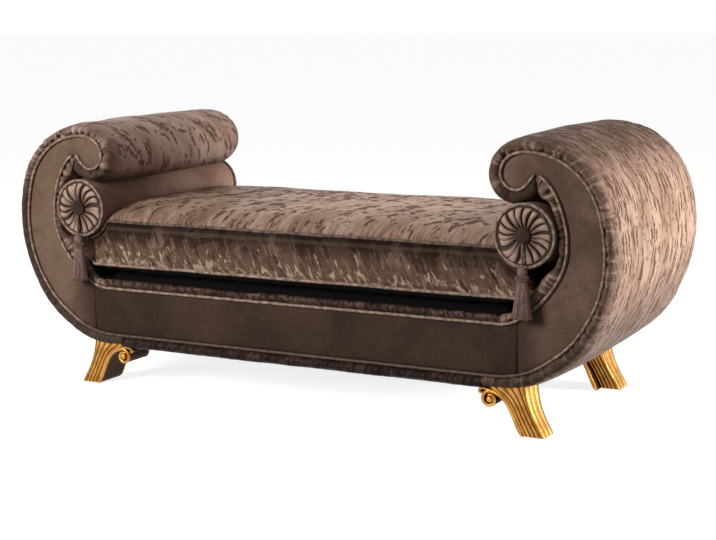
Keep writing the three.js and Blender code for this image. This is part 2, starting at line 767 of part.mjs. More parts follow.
// A leg: a reeded shank that sweeps out to the foot, and a volute on its inner side. Each share
// is the height, then how far the outer edge has come from the foot to the top, then the width
// and the depth between those of the foot and the top.
const shankShares = [
  [0, 0, 0, 0], [0.2, 0.3, 0.06, 0.1], [0.45, 0.6, 0.16, 0.32], [0.7, 0.8, 0.42, 0.62],
  [0.86, 0.92, 0.8, 0.86], [1, 1, 1, 1],
];
const overrunShare = 0.88; // share of the band above the leg that is cut away to fit the wrap
const shankTopWidth = 82;
const voluteSides = 14;

function leg() {
  const faceY = -facingFront + legSetBack;
  const reedPoints = reedCount * 2;
  const rings = shankShares.map(([up, out, wide, deep]) => {
    const outer = lerp(legFootOuter, legTopOuter, out);
    const width = lerp(legFootWidth, shankTopWidth, wide);
    const depth = lerp(legFootDepth, legTopDepth, deep);
    const row = (y, inward) =>
      Array.from({ length: reedPoints + 1 }, (_, i) => {
        const valley = i % 2 ? 0 : reedDepth * inward;
        return v3(outer - width + (width * i) / reedPoints, y + valley, up * legHeight);
      });
    return [...row(faceY, 1), ...row(faceY + depth, -1).reverse()];
  });
  const overrun = v3(0, 0, bandHeight * overrunShare);
  rings.push(rings[rings.length - 1].map((p) => p.clone().add(overrun)));
  const volute = new THREE.CylinderGeometry(voluteRadius, voluteRadius, voluteDepth, voluteSides);
  const eye = new THREE.CylinderGeometry(
    voluteEyeRadius, voluteEyeRadius, voluteDepth + 2 * voluteEyeRise, voluteSides / 2,
  );
  const voluteHeight = legHeight - legShelfHeight / 2 - voluteRadius;
  const middleY = faceY + voluteEyeRise + voluteDepth / 2;
  const seat = (geometry) => solidOf(geometry.translate(volutePlace, middleY, voluteHeight));
  const shelf = box(
    v3(legShelfEnd, faceY + voluteEyeRise, legHeight - legShelfHeight),
    v3(legTopOuter - shankTopWidth / 4, faceY + voluteEyeRise + voluteDepth, legHeight + overrun.z),
  );
  return loft(rings)
    .add(shelf)
    .add(seat(volute))
    .add(seat(eye))
    .subtract(wrapEnvelope())
    .subtract(box(v3(0, -farSide, legHeight), v3(wrapFoot + fitGap, farSide, farSide)))
    .subtract(clearOf(blockLow, blockHigh, fitGap))
    .subtract(boltBore());
}

// Assembly

const recamier = new THREE.Group();

function place(name, solid, material, side = 1, face = 1) {
  const mesh = new THREE.Mesh(geometryOf(solid), material);
  mesh.name = name;
  mesh.scale.set(side, face, 1);
  recamier.add(mesh);
}

const sides = [["left", -1], ["right", 1]];
const faces = [["front", 1], ["back", -1]];

place("cross_rail_centre", crossRail(0, lowerSeam), beech);
place("seat_webbing", webNet(), webbing);
place("deck_pad", deckPad(), jacquard);
place("dust_cover", dustCover(), lining);
place("seat_cushion", seatCushion(), jacquard);
place("cushion_piping_top", cushionPiping(cushionHigh - pipingRadius, true), piping);
place("cushion_piping_bottom", cushionPiping(cushionLow + pipingRadius, false), piping);

for (const [face, f] of faces) {
  place(`${face}_rail`, longRail(), beech, 1, f);
  place(`rail_cover_${face}`, railCover, velvet, 1, f);
  place(`bottom_band_${face}`, bottomBand(), jacquard, 1, f);
  place(`outer_piping_${face}`, outerPiping(), piping, 1, f);
  place(`inner_piping_${face}`, innerPiping(), piping, 1, f);
}

for (const [side, s] of sides) {
  place(`cross_rail_${side}`, crossRail(crossRailPlace, lowerSeam + crossRailRise), beech, s);
  place(`outer_panel_${side}`, outerPanel(), plywood, s);
  place(`inner_panel_${side}`, innerPanel(), plywood, s);
  place(`outer_wrap_${side}`, outerWrap(), jacquard, s);
  place(`inner_wrap_${side}`, innerWrap(), jacquard, s);
  place(`bolster_${side}`, bolster(), velvet, s);
  place(`tassel_${side}`, tassel(), tasselYarn, s);
  for (const [face, f] of faces) {
    place(`scroll_profile_${side}_${face}`, scrollProfile, plywood, s, f);
    place(`arm_facing_${side}_${face}`, armFacing, velvet, s, f);
    place(`corner_block_${side}_${face}`, cornerBlock(), beech, s, f);
    place(`leg_${side}_${face}`, leg(), gilding, s, f);
    place(`leg_bolt_${side}_${face}`, bolt(boltRadius, boltLow, boltHigh), steel, s, f);
    place(`rosette_${side}_${face}`, rosette(), rosetteVelvet, s, f);
    place(`button_${side}_${face}`, button(), rosetteVelvet, s, f);
  }
}

// The tassels stand further forward than the rear buttons stand back, so the whole is moved to
// bring the middle of its depth over the origin
const frontReach = bolsterHalfLength + tasselForward + tasselRadius * tasselFlatness;
const backReach = bolsterHalfLength + fitGap + buttonSeatHeight + fitGap + buttonThickness;
recamier.position.y = (frontReach - backReach) / 2;

export default recamier;
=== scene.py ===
import bmesh
import bpy
import json
import math

import numpy as np
from mathutils import Matrix, Vector, geometry

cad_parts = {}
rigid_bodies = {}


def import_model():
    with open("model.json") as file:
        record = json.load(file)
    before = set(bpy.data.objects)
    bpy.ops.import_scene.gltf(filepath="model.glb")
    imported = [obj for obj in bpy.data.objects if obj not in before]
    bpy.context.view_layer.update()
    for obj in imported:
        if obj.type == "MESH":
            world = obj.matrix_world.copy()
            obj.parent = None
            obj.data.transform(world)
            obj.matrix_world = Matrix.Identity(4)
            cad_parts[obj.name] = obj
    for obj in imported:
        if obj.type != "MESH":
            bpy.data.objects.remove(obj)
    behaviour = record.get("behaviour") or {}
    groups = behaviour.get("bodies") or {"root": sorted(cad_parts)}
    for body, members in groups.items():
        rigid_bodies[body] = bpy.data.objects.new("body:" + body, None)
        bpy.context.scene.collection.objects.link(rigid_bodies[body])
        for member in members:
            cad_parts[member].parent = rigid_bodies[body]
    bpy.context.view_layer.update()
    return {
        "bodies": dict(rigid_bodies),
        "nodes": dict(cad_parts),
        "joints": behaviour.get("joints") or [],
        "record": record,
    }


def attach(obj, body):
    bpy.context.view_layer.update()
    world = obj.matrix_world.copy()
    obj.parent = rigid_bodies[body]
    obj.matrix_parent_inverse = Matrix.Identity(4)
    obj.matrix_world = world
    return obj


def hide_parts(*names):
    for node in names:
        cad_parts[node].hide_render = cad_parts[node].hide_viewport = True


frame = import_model()
rng = np.random.default_rng(7)

# Sizes in millimetres, as in the CAD source; y is counted from the middle of the bench's depth
Y_SHIFT = 9.57
FRONT = 310.0
WELT_FACE = FRONT - 3
LOWER_SEAM = 147.0
DECK_LINE = 276.0
DECK_TOP = 316.0
AXIS_X, AXIS_Z = 656.0, 495.6
BOLSTER_HALF = 324.0
FACING_SEAM = 632.0
WRAP_FOOT = 540.0
DECK_HALF = 590.0
CUSHION_HALF = 652.0
CUSHION_LOW, CUSHION_HIGH = 338.0, 465.0
BOXING = CUSHION_HIGH - CUSHION_LOW
SCROLL_X, SCROLL_REACH, SCROLL_RISE = 600.0, 250.0, 544.0

# Seam lines of the scroll, as shares of its reach and rise
OUTER = [
    (0.292, 0.903), (0.228, 0.862), (0.136, 0.836), (0.032, 0.844), (-0.04, 0.884), (-0.036, 0.934),
    (0.04, 0.978), (0.18, 1), (0.38, 0.993), (0.58, 0.96), (0.76, 0.897), (0.896, 0.805),
    (0.972, 0.686), (1, 0.557), (0.968, 0.428), (0.872, 0.307), (0.7, 0.186), (0.488, 0.099),
    (0.248, 0.033), (0, 0.004), (-0.24, 0),
]
INNER = [
    (0.292, 1), (0.376, 0.983), (0.448, 0.936), (0.524, 0.854), (0.592, 0.729), (0.628, 0.591),
    (0.616, 0.453), (0.556, 0.337), (0.448, 0.224), (0.328, 0.138), (0.2, 0.069), (0.08, 0.019),
    (-0.04, 0),
]

SIDES = (("left", -1), ("right", 1))
FACES = (("front", 1), ("back", -1))
CORNERS = [(side + "_" + face, s, f) for side, s in SIDES for face, f in FACES]


# Numbers and lines

def lerp(a, b, t):
    return a + (b - a) * t


def smooth(t):
    t = np.clip(t, 0, 1)
    return t * t * (3 - 2 * t)


def joined(*parts):
    """Coordinates, or places on a cloth, put together from one array or number for each direction."""
    return np.stack(np.broadcast_arrays(*parts), axis=-1)


def around(count):
    """Evenly spaced angles once round."""
    return np.linspace(0, 2 * math.pi, count, endpoint=False)


def lattice(i, j, k):
    """A number from 0 to 1 for each whole-number place, the same at each run."""
    i, j, k = (np.asarray(v).astype(np.int64) for v in (i, j, k))
    n = ((i * 73856093) ^ (j * 19349663) ^ (k * 83492791)) & 0x7FFFFFFF
    n = ((n ^ (n >> 13)) * 1274126177) & 0x7FFFFFFF
    return ((n ^ (n >> 15)) & 0xFFFF) / 65535.0


def ripple(x, y, z=0.0):
    """Smooth random waves from -1 to 1 through space, the same at each run."""
    places = np.broadcast_arrays(*(np.asarray(v, float) for v in (x, y, z)))
    cells = [np.floor(v) for v in places]
    parts = [smooth(v - c) for v, c in zip(places, cells)]
    total = 0.0
    for dx in (0, 1):
        for dy in (0, 1):
            for dz in (0, 1):
                weight = 1.0
                for part, d in zip(parts, (dx, dy, dz)):
                    weight = weight * (part if d else 1 - part)
                total = total + weight * lattice(cells[0] + dx, cells[1] + dy, cells[2] + dz)
    return 2 * total - 1


def spline(points, steps=24):
    """A smooth line through points."""
    pts = np.array(points, float)
    last = len(pts) - 1
    out = []
    for i in range(last):
        p0, p1, p2, p3 = pts[max(i - 1, 0)], pts[i], pts[i + 1], pts[min(i + 2, last)]
        for t in np.linspace(0, 1, steps, endpoint=False):
            v0, v1 = (p2 - p0) / 2, (p3 - p1) / 2
            bend = (2 * p1 - 2 * p2 + v0 + v1) * t**3
            out.append(bend + (-3 * p1 + 3 * p2 - 2 * v0 - v1) * t * t + v0 * t + p1)
    out.append(pts[last])
    return np.array(out)


def runs(line):
    """Distance along a line at each of its points."""
    return np.concatenate([[0], np.cumsum(np.linalg.norm(np.diff(line, axis=0), axis=1))])


def spaced(line, step):
    """The line again with evenly spaced points."""
    line = np.asarray(line, float)
    run = runs(line)
    even = np.linspace(0, run[-1], max(2, int(round(run[-1] / step)) + 1))
    return np.stack([np.interp(even, run, line[:, k]) for k in range(line.shape[1])], axis=1)


def headings(line):
    """Unit directions along a line."""
    along = np.gradient(line, axis=0)
    return along / np.linalg.norm(along, axis=1)[:, None]


def to_right(along):
    """Directions turned a quarter to their right."""
    return joined(along[:, 1], -along[:, 0])


class Seam:
    """A seam line of the scroll: its points, the directions away from the facing and the runs."""

    def __init__(self, shares, bottom, height, turn, step):
        pts = [(SCROLL_X + a * SCROLL_REACH, bottom + b * height) for a, b in shares]
        self.p = spaced(spline(pts), step)
        along = headings(self.p)
        along[-1] = (-1, 0)
        self.away = -turn * to_right(along)
        self.run = runs(self.p)


def outer_seam(step):
    return Seam(OUTER, LOWER_SEAM, SCROLL_RISE, 1, step)


def inner_seam(step):
    """The inner seam starts where the outer one does, under the curl, and ends at the deck."""
    return Seam(INNER, DECK_LINE, LOWER_SEAM + OUTER[0][1] * SCROLL_RISE - DECK_LINE, -1, step)


def gathers(run, edge, seed, pitch=24.0):
    """Depth of the tucks beside a seam, each with its own depth, lean and length, and fine ones between."""
    place = (run + 0.4 * edge * ripple(run / 70.0, seed)) / pitch + 0.9 * ripple(run / 60.0, seed + 0.5)
    cell = np.floor(place)
    part = place - cell
    valley = cell + (part > 0.5)
    apart = 2 * np.minimum(part, 1 - part)
    deep = 0.15 + 1.0 * lattice(valley, seed * 10, 1)
    long = 20 + 30 * lattice(valley, seed * 10, 2)
    groove = deep * (1 - apart ** 0.75) * np.exp(-((edge / long) ** 2))
    fine = 0.16 * ripple(run / 4.5, edge / 18.0, seed) * np.exp(-edge / 24.0)
    return fine - groove


# Meshes

def show(name, data):
    obj = bpy.data.objects.new(name, data)
    bpy.context.collection.objects.link(obj)
    return obj


def turn_out(mesh):
    """Turns the faces of a closed mesh outwards."""
    mesh.calc_loop_triangles()
    corners = np.empty(3 * len(mesh.loop_triangles), np.int32)
    mesh.loop_triangles.foreach_get("vertices", corners)
    co = np.empty(3 * len(mesh.vertices))
    mesh.vertices.foreach_get("co", co)
    a, b, c = np.moveaxis(co.reshape(-1, 3)[corners.reshape(-1, 3)], 1, 0)
    if np.sum(a * np.cross(b, c)) < 0:
        mesh.flip_normals()


def soften(mesh):
    mesh.polygons.foreach_set("use_smooth", [True] * len(mesh.polygons))


def place_points(mesh, points, cloth=None):
    """Sets each point from millimetres, and where it lies on the cloth."""
    v = (np.asarray(points, float).reshape(-1, 3) + (0, Y_SHIFT, 0)) / 1000
    mesh.vertices.foreach_set("co", v.ravel())
    if cloth is not None:
        layer = mesh.attributes.new("cloth", "FLOAT_VECTOR", "POINT")
        layer.data.foreach_set("vector", (np.asarray(cloth, float) / 1000).ravel())
    soften(mesh)
    mesh.update()
    turn_out(mesh)


def loft(name, rings, cloth=None, close_rows=False):
    """A skin through closed rings of one length: a grid sewn along its edges, with its ends filled."""
    rings = np.array(rings, float)
    rows, cols = rings.shape[:2]
    stride = cols + 1
    bm = bmesh.new()
    bmesh.ops.create_grid(bm, x_segments=cols, y_segments=rows if close_rows else rows - 1, size=1)
    bm.verts.ensure_lookup_table()
    sewn = {bm.verts[i * stride + cols]: bm.verts[i * stride] for i in range(rows)}
    if close_rows:
        for j in range(stride):
            sewn[bm.verts[rows * stride + j]] = bm.verts[j % cols]
    bmesh.ops.weld_verts(bm, targetmap=sewn)
    mesh = bpy.data.meshes.new(name)
    bm.to_mesh(mesh)
    points = rings.reshape(-1, 3)
    marks = None if cloth is None else np.array(cloth, float).reshape(-1, 3)
    if not close_rows:
        bm.clear()
        bm.from_mesh(mesh)
        rims = [e for e in bm.edges if e.is_boundary]
        ends = bmesh.ops.holes_fill(bm, edges=rims, sides=0)["faces"]
        tips = bmesh.ops.poke(bm, faces=ends)["verts"]
        bm.verts.index_update()
        for tip in sorted(tips, key=lambda v: v.index):
            at = 0 if tip.link_edges[0].other_vert(tip).index < cols else rows - 1
            points = np.vstack([points, rings[at].mean(0)])
            if marks is not None:
                marks = np.vstack([marks, marks[at * cols:(at + 1) * cols].mean(0)])
        bm.to_mesh(mesh)
    bm.free()
    place_points(mesh, points, marks)
    return show(name, mesh)


TUBE_SIDES = 10


def tube(name, path, radius, uneven, closed=False):
    """A round tube along a path of points."""
    p = np.array(path, float)
    along = np.roll(p, -1, 0) - np.roll(p, 1, 0) if closed else np.gradient(p, axis=0)
    along /= np.linalg.norm(along, axis=1)[:, None]
    up = np.array((0, 1, 0), float) if abs(along[0][1]) < 0.9 else np.array((0, 0, 1), float)
    one, two = [], []
    for way in along:
        a = np.cross(way, up)
        a /= np.linalg.norm(a)
        up = np.cross(a, way)
        one.append(a)
        two.append(up)
    one, two = np.array(one)[:, None], np.array(two)[:, None]
    t = around(TUBE_SIDES)[None, :]
    size = radius * (1 + uneven * ripple(p[:, :1] / 14, p[:, 2:] / 14 + p[:, 1:2] / 14, t))
    rings = p[:, None] + size[..., None] * (one * np.cos(t)[..., None] + two * np.sin(t)[..., None])
    cloth = joined(t * radius, runs(p)[:, None], 0.0)
    return loft(name, rings, cloth, closed)


def give(piece, *materials):
    piece.data.materials.clear()
    for material in materials:
        piece.data.materials.append(material)


def body(piece, name, slot, *nodes, fill=None):
    """Puts the piece on the body it rides on and hides the CAD nodes it stands for; its slot and how full
    it is are not used.
    """
    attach(piece, name)
    if nodes:
        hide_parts(*nodes)


def float_layer(piece, name, values, rest=0.0):
    """A number for each point, for a material to read; the points past the given ones get the rest."""
    whole = np.full(len(piece.data.vertices), rest)
    whole[:np.size(values)] = np.ravel(values)
    piece.data.attributes.new(name, "FLOAT", "POINT").data.foreach_set("value", whole)


def lining_and_shade_where(piece, hidden):
    """Dark lining, the piece's second material, on the faces that are out of sight, where it also stands as
    painted shade.
    """
    for poly in piece.data.polygons:
        place = poly.center * 1000
        poly.material_index = 1 if hidden(FRONT - abs(place.y - Y_SHIFT), place.z) else 0


CLOTH_PRESSURE = 4.0
CLOTH_FRAMES = 20


def settle(piece, held, cap):
    """Cloth simulation of a stuffed cover: air inside, held points fixed, no point moving past the cap."""
    mesh = piece.data
    rest = np.empty(3 * len(mesh.vertices))
    mesh.vertices.foreach_get("co", rest)
    group = piece.vertex_groups.new(name="held")
    group.add([int(i) for i in np.flatnonzero(held)], 1.0, "REPLACE")
    sim = piece.modifiers.new("cloth", "CLOTH")
    sim.settings.vertex_group_mass = "held"
    sim.settings.use_pressure = True
    sim.settings.uniform_pressure_force = CLOTH_PRESSURE
    sim.settings.shrink_min = -0.03
    sim.settings.effector_weights.gravity = 0
    sim.point_cache.frame_end = CLOTH_FRAMES
    for frame in range(1, CLOTH_FRAMES + 1):
        bpy.context.scene.frame_set(frame)
    whole = piece.evaluated_get(bpy.context.evaluated_depsgraph_get()).data
    moved = np.empty_like(rest)
    whole.vertices.foreach_get("co", moved)
    step = (moved - rest).reshape(-1, 3)
    far = np.linalg.norm(step, axis=1)
    past = 100 * (far > cap / 1000).mean()
    print("settled", piece.name, "mean %.1f mm, past the cap %.0f %%" % (far.mean() * 1000, past))
    step *= (np.minimum(1, cap / 1000 / np.maximum(far, 1e-9)))[:, None]
    piece.modifiers.remove(sim)
    piece.vertex_groups.clear()
    bpy.context.scene.frame_set(1)
    mesh.vertices.foreach_set("co", rest + step.ravel())
    mesh.update()


# Materials

class Nodes:
    """The node tree of a material or of the world, with its sums written short."""

    def __init__(self, owner):
        owner.use_nodes = True
        self.tree = owner.node_tree
        self.tree.nodes.clear()

    def add(self, kind, **props):
        node = self.tree.nodes.new(kind)
        for key, value in props.items():
            setattr(node, key, value)
        return node

    def put(self, socket, value):
        if isinstance(value, bpy.types.NodeSocket):
            self.tree.links.new(value, socket)
        elif isinstance(value, tuple) and len(value) == 3 and socket.type == "RGBA":
            socket.default_value = (*value, 1)
        else:
            socket.default_value = value

    def fill(self, node, *values, **named):
        """Sets a node's inputs, in their order or by name, and gives its first output."""
        for socket, value in zip(node.inputs, values):
            self.put(socket, value)
        for key, value in named.items():
            self.put(node.inputs[key.replace("_", " ")], value)
        return node.outputs[0]

    def end(self, kind, surface):
        self.put(self.add(kind).inputs[0], surface)

    def math(self, op, a, b=0.0, c=0.0):
        return self.fill(self.add("ShaderNodeMath", operation=op), a, b, c)

    def product(self, a, b):
        return self.math("MULTIPLY", a, b)

    def fitted(self, a, b, c):
        """One value times another, plus a third."""
        return self.math("MULTIPLY_ADD", a, b, c)

    def vec(self, x, y, z):
        return self.fill(self.add("ShaderNodeCombineXYZ"), x, y, z)

    def xyz(self, vector):
        node = self.add("ShaderNodeSeparateXYZ")
        self.put(node.inputs[0], vector)
        return tuple(node.outputs)

    def cloth(self):
        return self.add("ShaderNodeAttribute", attribute_name="cloth").outputs["Vector"]

    def number(self, name):
        return self.add("ShaderNodeAttribute", attribute_name=name).outputs["Fac"]

    def place(self):
        return self.add("ShaderNodeTexCoord").outputs["Object"]

    def noise(self, vector, scale, detail, rough=0.5, distortion=0.0):
        return self.fill(self.add("ShaderNodeTexNoise"), Vector=vector, Scale=scale, Detail=detail,
                         Roughness=rough, Distortion=distortion)

    def step(self, value, low, high, to_low=0.0, to_high=1.0):
        return self.fill(self.add("ShaderNodeMapRange", interpolation_type="SMOOTHSTEP"),
                         value, low, high, to_low, to_high)

    def mix(self, share, a, b):
        node = self.add("ShaderNodeMix", data_type="RGBA")
        for k, value in ((0, share), (6, a), (7, b)):
            self.put(node.inputs[k], value)
        return node.outputs[2]

    def over(self, colour, paint, where, share=None):
        """Paint laid over the colour where a number says, at most by the share."""
        return self.mix(where if share is None else self.product(where, share), colour, paint)

    def bump(self, height, distance, strength, under=None):
        node = self.add("ShaderNodeBump")
        if under is not None:
            self.put(node.inputs["Normal"], under)
        return self.fill(node, Strength=strength, Distance=distance, Height=height)

    def most(self, values):
        out = values[0]
        for value in values[1:]:
            out = self.math("MAXIMUM", out, value)
        return out


class Shader(Nodes):
    """A material with one surface."""

    def __init__(self, name):
        self.mat = bpy.data.materials.new(name)
        super().__init__(self.mat)
        self.bsdf = self.add("ShaderNodeBsdfPrincipled")
        self.end("ShaderNodeOutputMaterial", self.bsdf.outputs[0])

    def finish(self, **values):
        self.fill(self.bsdf, **values)
        return self.mat


def linear(r, g, b):
    return tuple(((c / 255 + 0.055) / 1.055) ** 2.4 if c > 10 else c / 255 / 12.92 for c in (r, g, b))


def toned(colour, share):
    """The colour made darker, or lighter by a share above 1."""
    return tuple(c * share for c in colour)


def times(s, x, kx, y, ky, z=0.0):
    """A place in a pattern with kx and ky parts to the metre."""
    return s.vec(s.product(x, kx), s.product(y, ky), z)


def turned_by(s, a, b, angle):
    c, n = math.cos(angle), math.sin(angle)
    x = s.fitted(a, c, s.product(b, n))
    y = s.fitted(a, -n, s.product(b, c))
    return x, y


def strokes(s, x, y, long, wide, low, seed, jag):
    """Short strokes of the weave that run along y."""
    return s.step(s.noise(times(s, x, 1 / wide, y, 1 / long, seed), 1.0, 2.2, 0.5, jag), low, low + 0.03)


RAGGED = 4.5


def flecks(s, x, y, across, along, wide, long, seed, swing, keep):
    """Separate ragged dashes that run along y, at most one to each cell of a loose lattice."""
    ragged = s.noise(times(s, x, 60.0, y, 160.0, seed), 1.0, 2.0, 0.65)
    x = s.fitted(s.fitted(ragged, RAGGED, -RAGGED / 2), wide, x)
    place = times(s, x, 1 / across, y, 1 / along, seed)
    cells = s.add("ShaderNodeTexVoronoi", voronoi_dimensions="2D")
    s.fill(cells, Vector=place, Scale=1.0)
    px, py, _ = s.xyz(place)
    cx, cy, _ = s.xyz(cells.outputs["Position"])
    first, second, third = s.xyz(cells.outputs["Color"])
    u = s.product(s.math("SUBTRACT", px, cx), across)
    v = s.product(s.math("SUBTRACT", py, cy), along)
    u = s.fitted(v, s.fitted(first, swing, -swing / 2), u)
    size = s.fitted(second, 0.9, 0.45)
    u = s.math("DIVIDE", s.math("ABSOLUTE", u), s.product(size, wide))
    v = s.math("DIVIDE", s.math("ABSOLUTE", v), s.product(size, long))
    dash = s.step(s.math("ADD", s.math("POWER", v, 3.0), u), 1.15, 0.85)
    return s.product(dash, s.step(third, keep + 0.01, keep))


def finish_cloth(s, x, y, edge, colour, satin, dark, tint, rough, sheen, gather, creases=0.35):
    """Gathers beside the seams, soft creases, the relief of the pattern and the threads."""
    near = s.math("EXPONENT", s.product(edge, -22.0))
    tucks = s.noise(times(s, y, 80.0, edge, 12.0), 1.0, 2.0, 0.6, 0.4)
    folds = s.noise(times(s, x, 17.0, y, 11.0, 3), 1.0, 3.0, 0.5, 0.6)
    threads = s.product(s.math("SINE", s.product(x, 4200.0)), s.math("SINE", s.product(y, 4200.0)))
    normal = s.bump(folds, 0.006, creases)
    normal = s.bump(s.product(tucks, near), 0.014 * gather, 1.0, normal)
    normal = s.bump(satin, 0.0010, 0.8, normal)
    normal = s.bump(threads, 0.00008, 0.5, normal)
    # Painted shade on the lip where the cloth turns in at a seam
    turned_in = s.step(edge, 0.085, 0.035)
    colour = s.over(colour, dark, turned_in, 0.85 * max(0.0, gather - 0.3))
    # Painted shade in the tucks' valleys and painted highlights on their ridges
    valley = s.product(near, s.step(tucks, 0.56, 0.42))
    colour = s.over(colour, dark, valley, min(1.0, 0.95 * gather))
    ridge = s.product(near, s.step(tucks, 0.53, 0.64))
    colour = s.over(colour, tint, ridge, min(1.0, 0.8 * gather))
    colour = s.over(colour, toned(dark, 0.35), s.number("shade"), 0.92)
    return s.finish(Base_Color=colour, Roughness=s.step(satin, 0.0, 1.0, rough + 0.25, rough),
                    Specular_IOR_Level=0.05, Sheen_Weight=sheen, Sheen_Roughness=0.45,
                    Sheen_Tint=(*tint, 1), Normal=normal)


# Three sizes of dash: spacing across and along, width and length against the largest, seed, swing, share
DASHES = ((1.0, 1.0, 1.0, 1.0, 1.3, 0.5, 0.8), (0.62, 0.55, 0.8, 0.45, 4.1, 1.0, 0.55),
          (0.5, 0.3, 0.6, 0.14, 7.7, 1.0, 0.35))


def bark_jacquard(name, ground, light, dark, turn, mark=(0.0036, 0.027), sparse=(0.024, 0.060),
                  slim=0.0, gather=1.0, rough=0.42):
    """Satin with ragged dark dashes that run one way and small specks; closer dashes, on a ground darkened
    as painted shade, where dense_and_shaded says so.
    """
    s = Shader(name)
    a, b, edge = s.xyz(s.cloth())
    x, y = turned_by(s, a, b, turn)
    fibres = s.noise(times(s, x, 420.0, y, 26.0, 2), 1.0, 2.0, 0.6)
    cloudy = s.noise(times(s, x, 16.0, y, 5.0, 4), 1.0, 3.0, 0.55, 0.4)
    colour = s.mix(s.step(cloudy, 0.36, 0.64), ground, light)
    colour = s.over(colour, toned(ground, 0.55), s.step(fibres, 0.66, 0.30, 0.0, 0.26))
    wide, long = mark
    across, along = sparse
    # Where the cloth turns down at a seam, the dashes can be slimmer
    thin = s.step(edge, 0.0, 0.09, 1.0 - slim, 1.0)
    few = []
    for apart, after, width, length, seed, swing, keep in DASHES:
        slimmed = s.product(thin, wide * width)
        place = across * apart, along * after
        few.append(flecks(s, x, y, *place, slimmed, long * length, seed, swing, keep))
    many = [flecks(s, x, y, across * 0.55, along * 1.2, wide * 1.1, long * 1.5, 10.9, 0.3, 0.85),
            strokes(s, x, y, long * 2.6, wide * 2.4, 0.56, 5.0, 1.2)]
    dense_and_shaded = s.number("dense_and_shaded")
    marks = s.math("MAXIMUM", s.most(few), s.product(s.most(many), dense_and_shaded))
    # Painted shade: the ground darker where the dashes are close, on the right arm's top
    colour = s.over(colour, toned(ground, 0.36), dense_and_shaded, 0.6)
    colour = s.over(colour, dark, marks, 0.85)
    # Painted shade in the valleys of the tucks, as deep as the fold number says
    colour = s.over(colour, toned(ground, 0.10), s.step(s.number("fold"), 0.05, 0.60, 0.0, 0.9))
    satin = s.math("SUBTRACT", 1.0, marks)
    return finish_cloth(s, a, b, edge, colour, satin, toned(ground, 0.36), light, rough, 0.04, gather)


LEAF_COLUMNS = 0.357


def boxing_jacquard(name, ground, light, pale):
    """The cushion's sides: leaf columns hang from the seam, feathery strokes rise from the foot."""
    s = Shader(name)
    x, y, edge = s.xyz(s.cloth())
    v = s.math("DIVIDE", y, BOXING / 1000)
    u = s.math("SUBTRACT", s.math("FRACT", s.fitted(x, 1 / LEAF_COLUMNS, 10.64)), 0.5)
    ragged = s.math("SUBTRACT", s.noise(times(s, x, 90.0, y, 70.0, 7), 1.0, 2.5, 0.6, 0.5), 0.5)
    # Column: wide at its crown, waisted, then a drop
    span = s.fitted(s.math("SINE", s.product(v, 13.0)), 0.020, 0.046)
    span = s.fitted(ragged, 0.16, span)
    column = s.step(s.math("SUBTRACT", span, s.math("ABSOLUTE", u)), -0.003, 0.004)
    column = s.product(column, s.step(s.fitted(ragged, 0.3, v), 0.44, 0.50))
    # Big ragged leaves with lighter rims, a little lighter than the ground
    cell = s.noise(times(s, x, 12.0, y, 10.0, 11), 1.0, 2.0, 0.5, 1.4)
    leaf = s.step(s.fitted(ragged, 0.10, cell), 0.50, 0.515)
    rim = s.step(s.math("ABSOLUTE", s.math("SUBTRACT", cell, 0.50)), 0.018, 0.006)
    # Feathers: long slanting strokes, denser and brighter towards the foot
    fx, fy = turned_by(s, x, y, 0.42)
    plumes = strokes(s, fx, fy, 0.085, 0.0130, 0.60, 3.0, 1.0)
    barbs = strokes(s, fx, fy, 0.034, 0.0085, 0.60, 6.0, 1.1)
    feathers = s.math("MAXIMUM", s.product(plumes, s.step(v, 1.0, 0.40)),
                      s.product(barbs, s.step(v, 0.70, 0.10)))
    glints = s.noise(times(s, fx, 66.0, fy, 27.0, 21), 1.0, 3.0, 0.65, 0.6)
    glints = s.step(s.fitted(v, -0.30, glints), 0.46, 0.53)
    gaps = strokes(s, fx, fy, 0.070, 0.0085, 0.60, 13.0, 0.8)
    foot = tuple(lerp(g, l, 0.62) for g, l in zip(ground, light))
    colour = s.mix(s.step(v, 0.85, 0.05), ground, foot)
    for part, share, paint in (
            (leaf, 0.36, foot), (rim, 0.35, light), (column, 0.60, light),
            (gaps, 0.75, toned(ground, 0.6)), (feathers, 0.70, light), (glints, 0.75, pale)):
        colour = s.over(colour, paint, part, share)
    # Painted shadow under the top seam: the upper part darker
    colour = s.over(colour, toned(ground, 0.5), s.step(v, 0.50, 0.92, 0.0, 0.74))
    pattern = s.most([column, feathers, glints])
    return finish_cloth(s, x, y, edge, colour, pattern, toned(ground, 0.4), light, 0.38, 0.1, 0.3, 0.7)


def velvet(name, base, high, weave=1.0, seam=None):
    """Short pile over a fine weave; it can be darker beside the seam of the facing."""
    s = Shader(name)
    place = s.place()
    x, y, z = s.xyz(place)
    side = s.math("ADD", x, y)
    warp = s.noise(times(s, side, 420.0, z, 30.0, 1), 1.0, 2.0, 0.6)
    weft = s.noise(times(s, side, 30.0, z, 420.0, 2), 1.0, 2.0, 0.6)
    lines = s.product(s.math("ADD", warp, weft), 0.5)
    brushed = s.noise(place, 6.0, 4.0, 0.62, 0.4)
    colour = s.mix(s.step(brushed, 0.34, 0.66), base, high)
    if seam:
        inward = s.step(s.math("ABSOLUTE", x), 0.72, FACING_SEAM / 1000)
        colour = s.over(colour, seam, inward, s.step(z, 0.44, 0.30))
    colour = s.over(colour, toned(base, 0.5), s.step(lines, 0.55, 0.40, 0.0, 0.32 * weave))
    colour = s.over(colour, toned(high, 1.4), s.step(lines, 0.54, 0.66, 0.0, 0.25 * weave))
    colour = s.over(colour, toned(base, 0.25), s.number("shade"))
    normal = s.bump(brushed, 0.006, 0.3)
    normal = s.bump(lines, 0.0012, 0.5 * weave, normal)
    return s.finish(Base_Color=colour, Roughness=0.72, Specular_IOR_Level=0.08, Sheen_Weight=0.4,
                    Sheen_Roughness=0.35, Sheen_Tint=(*high, 1), Normal=normal)


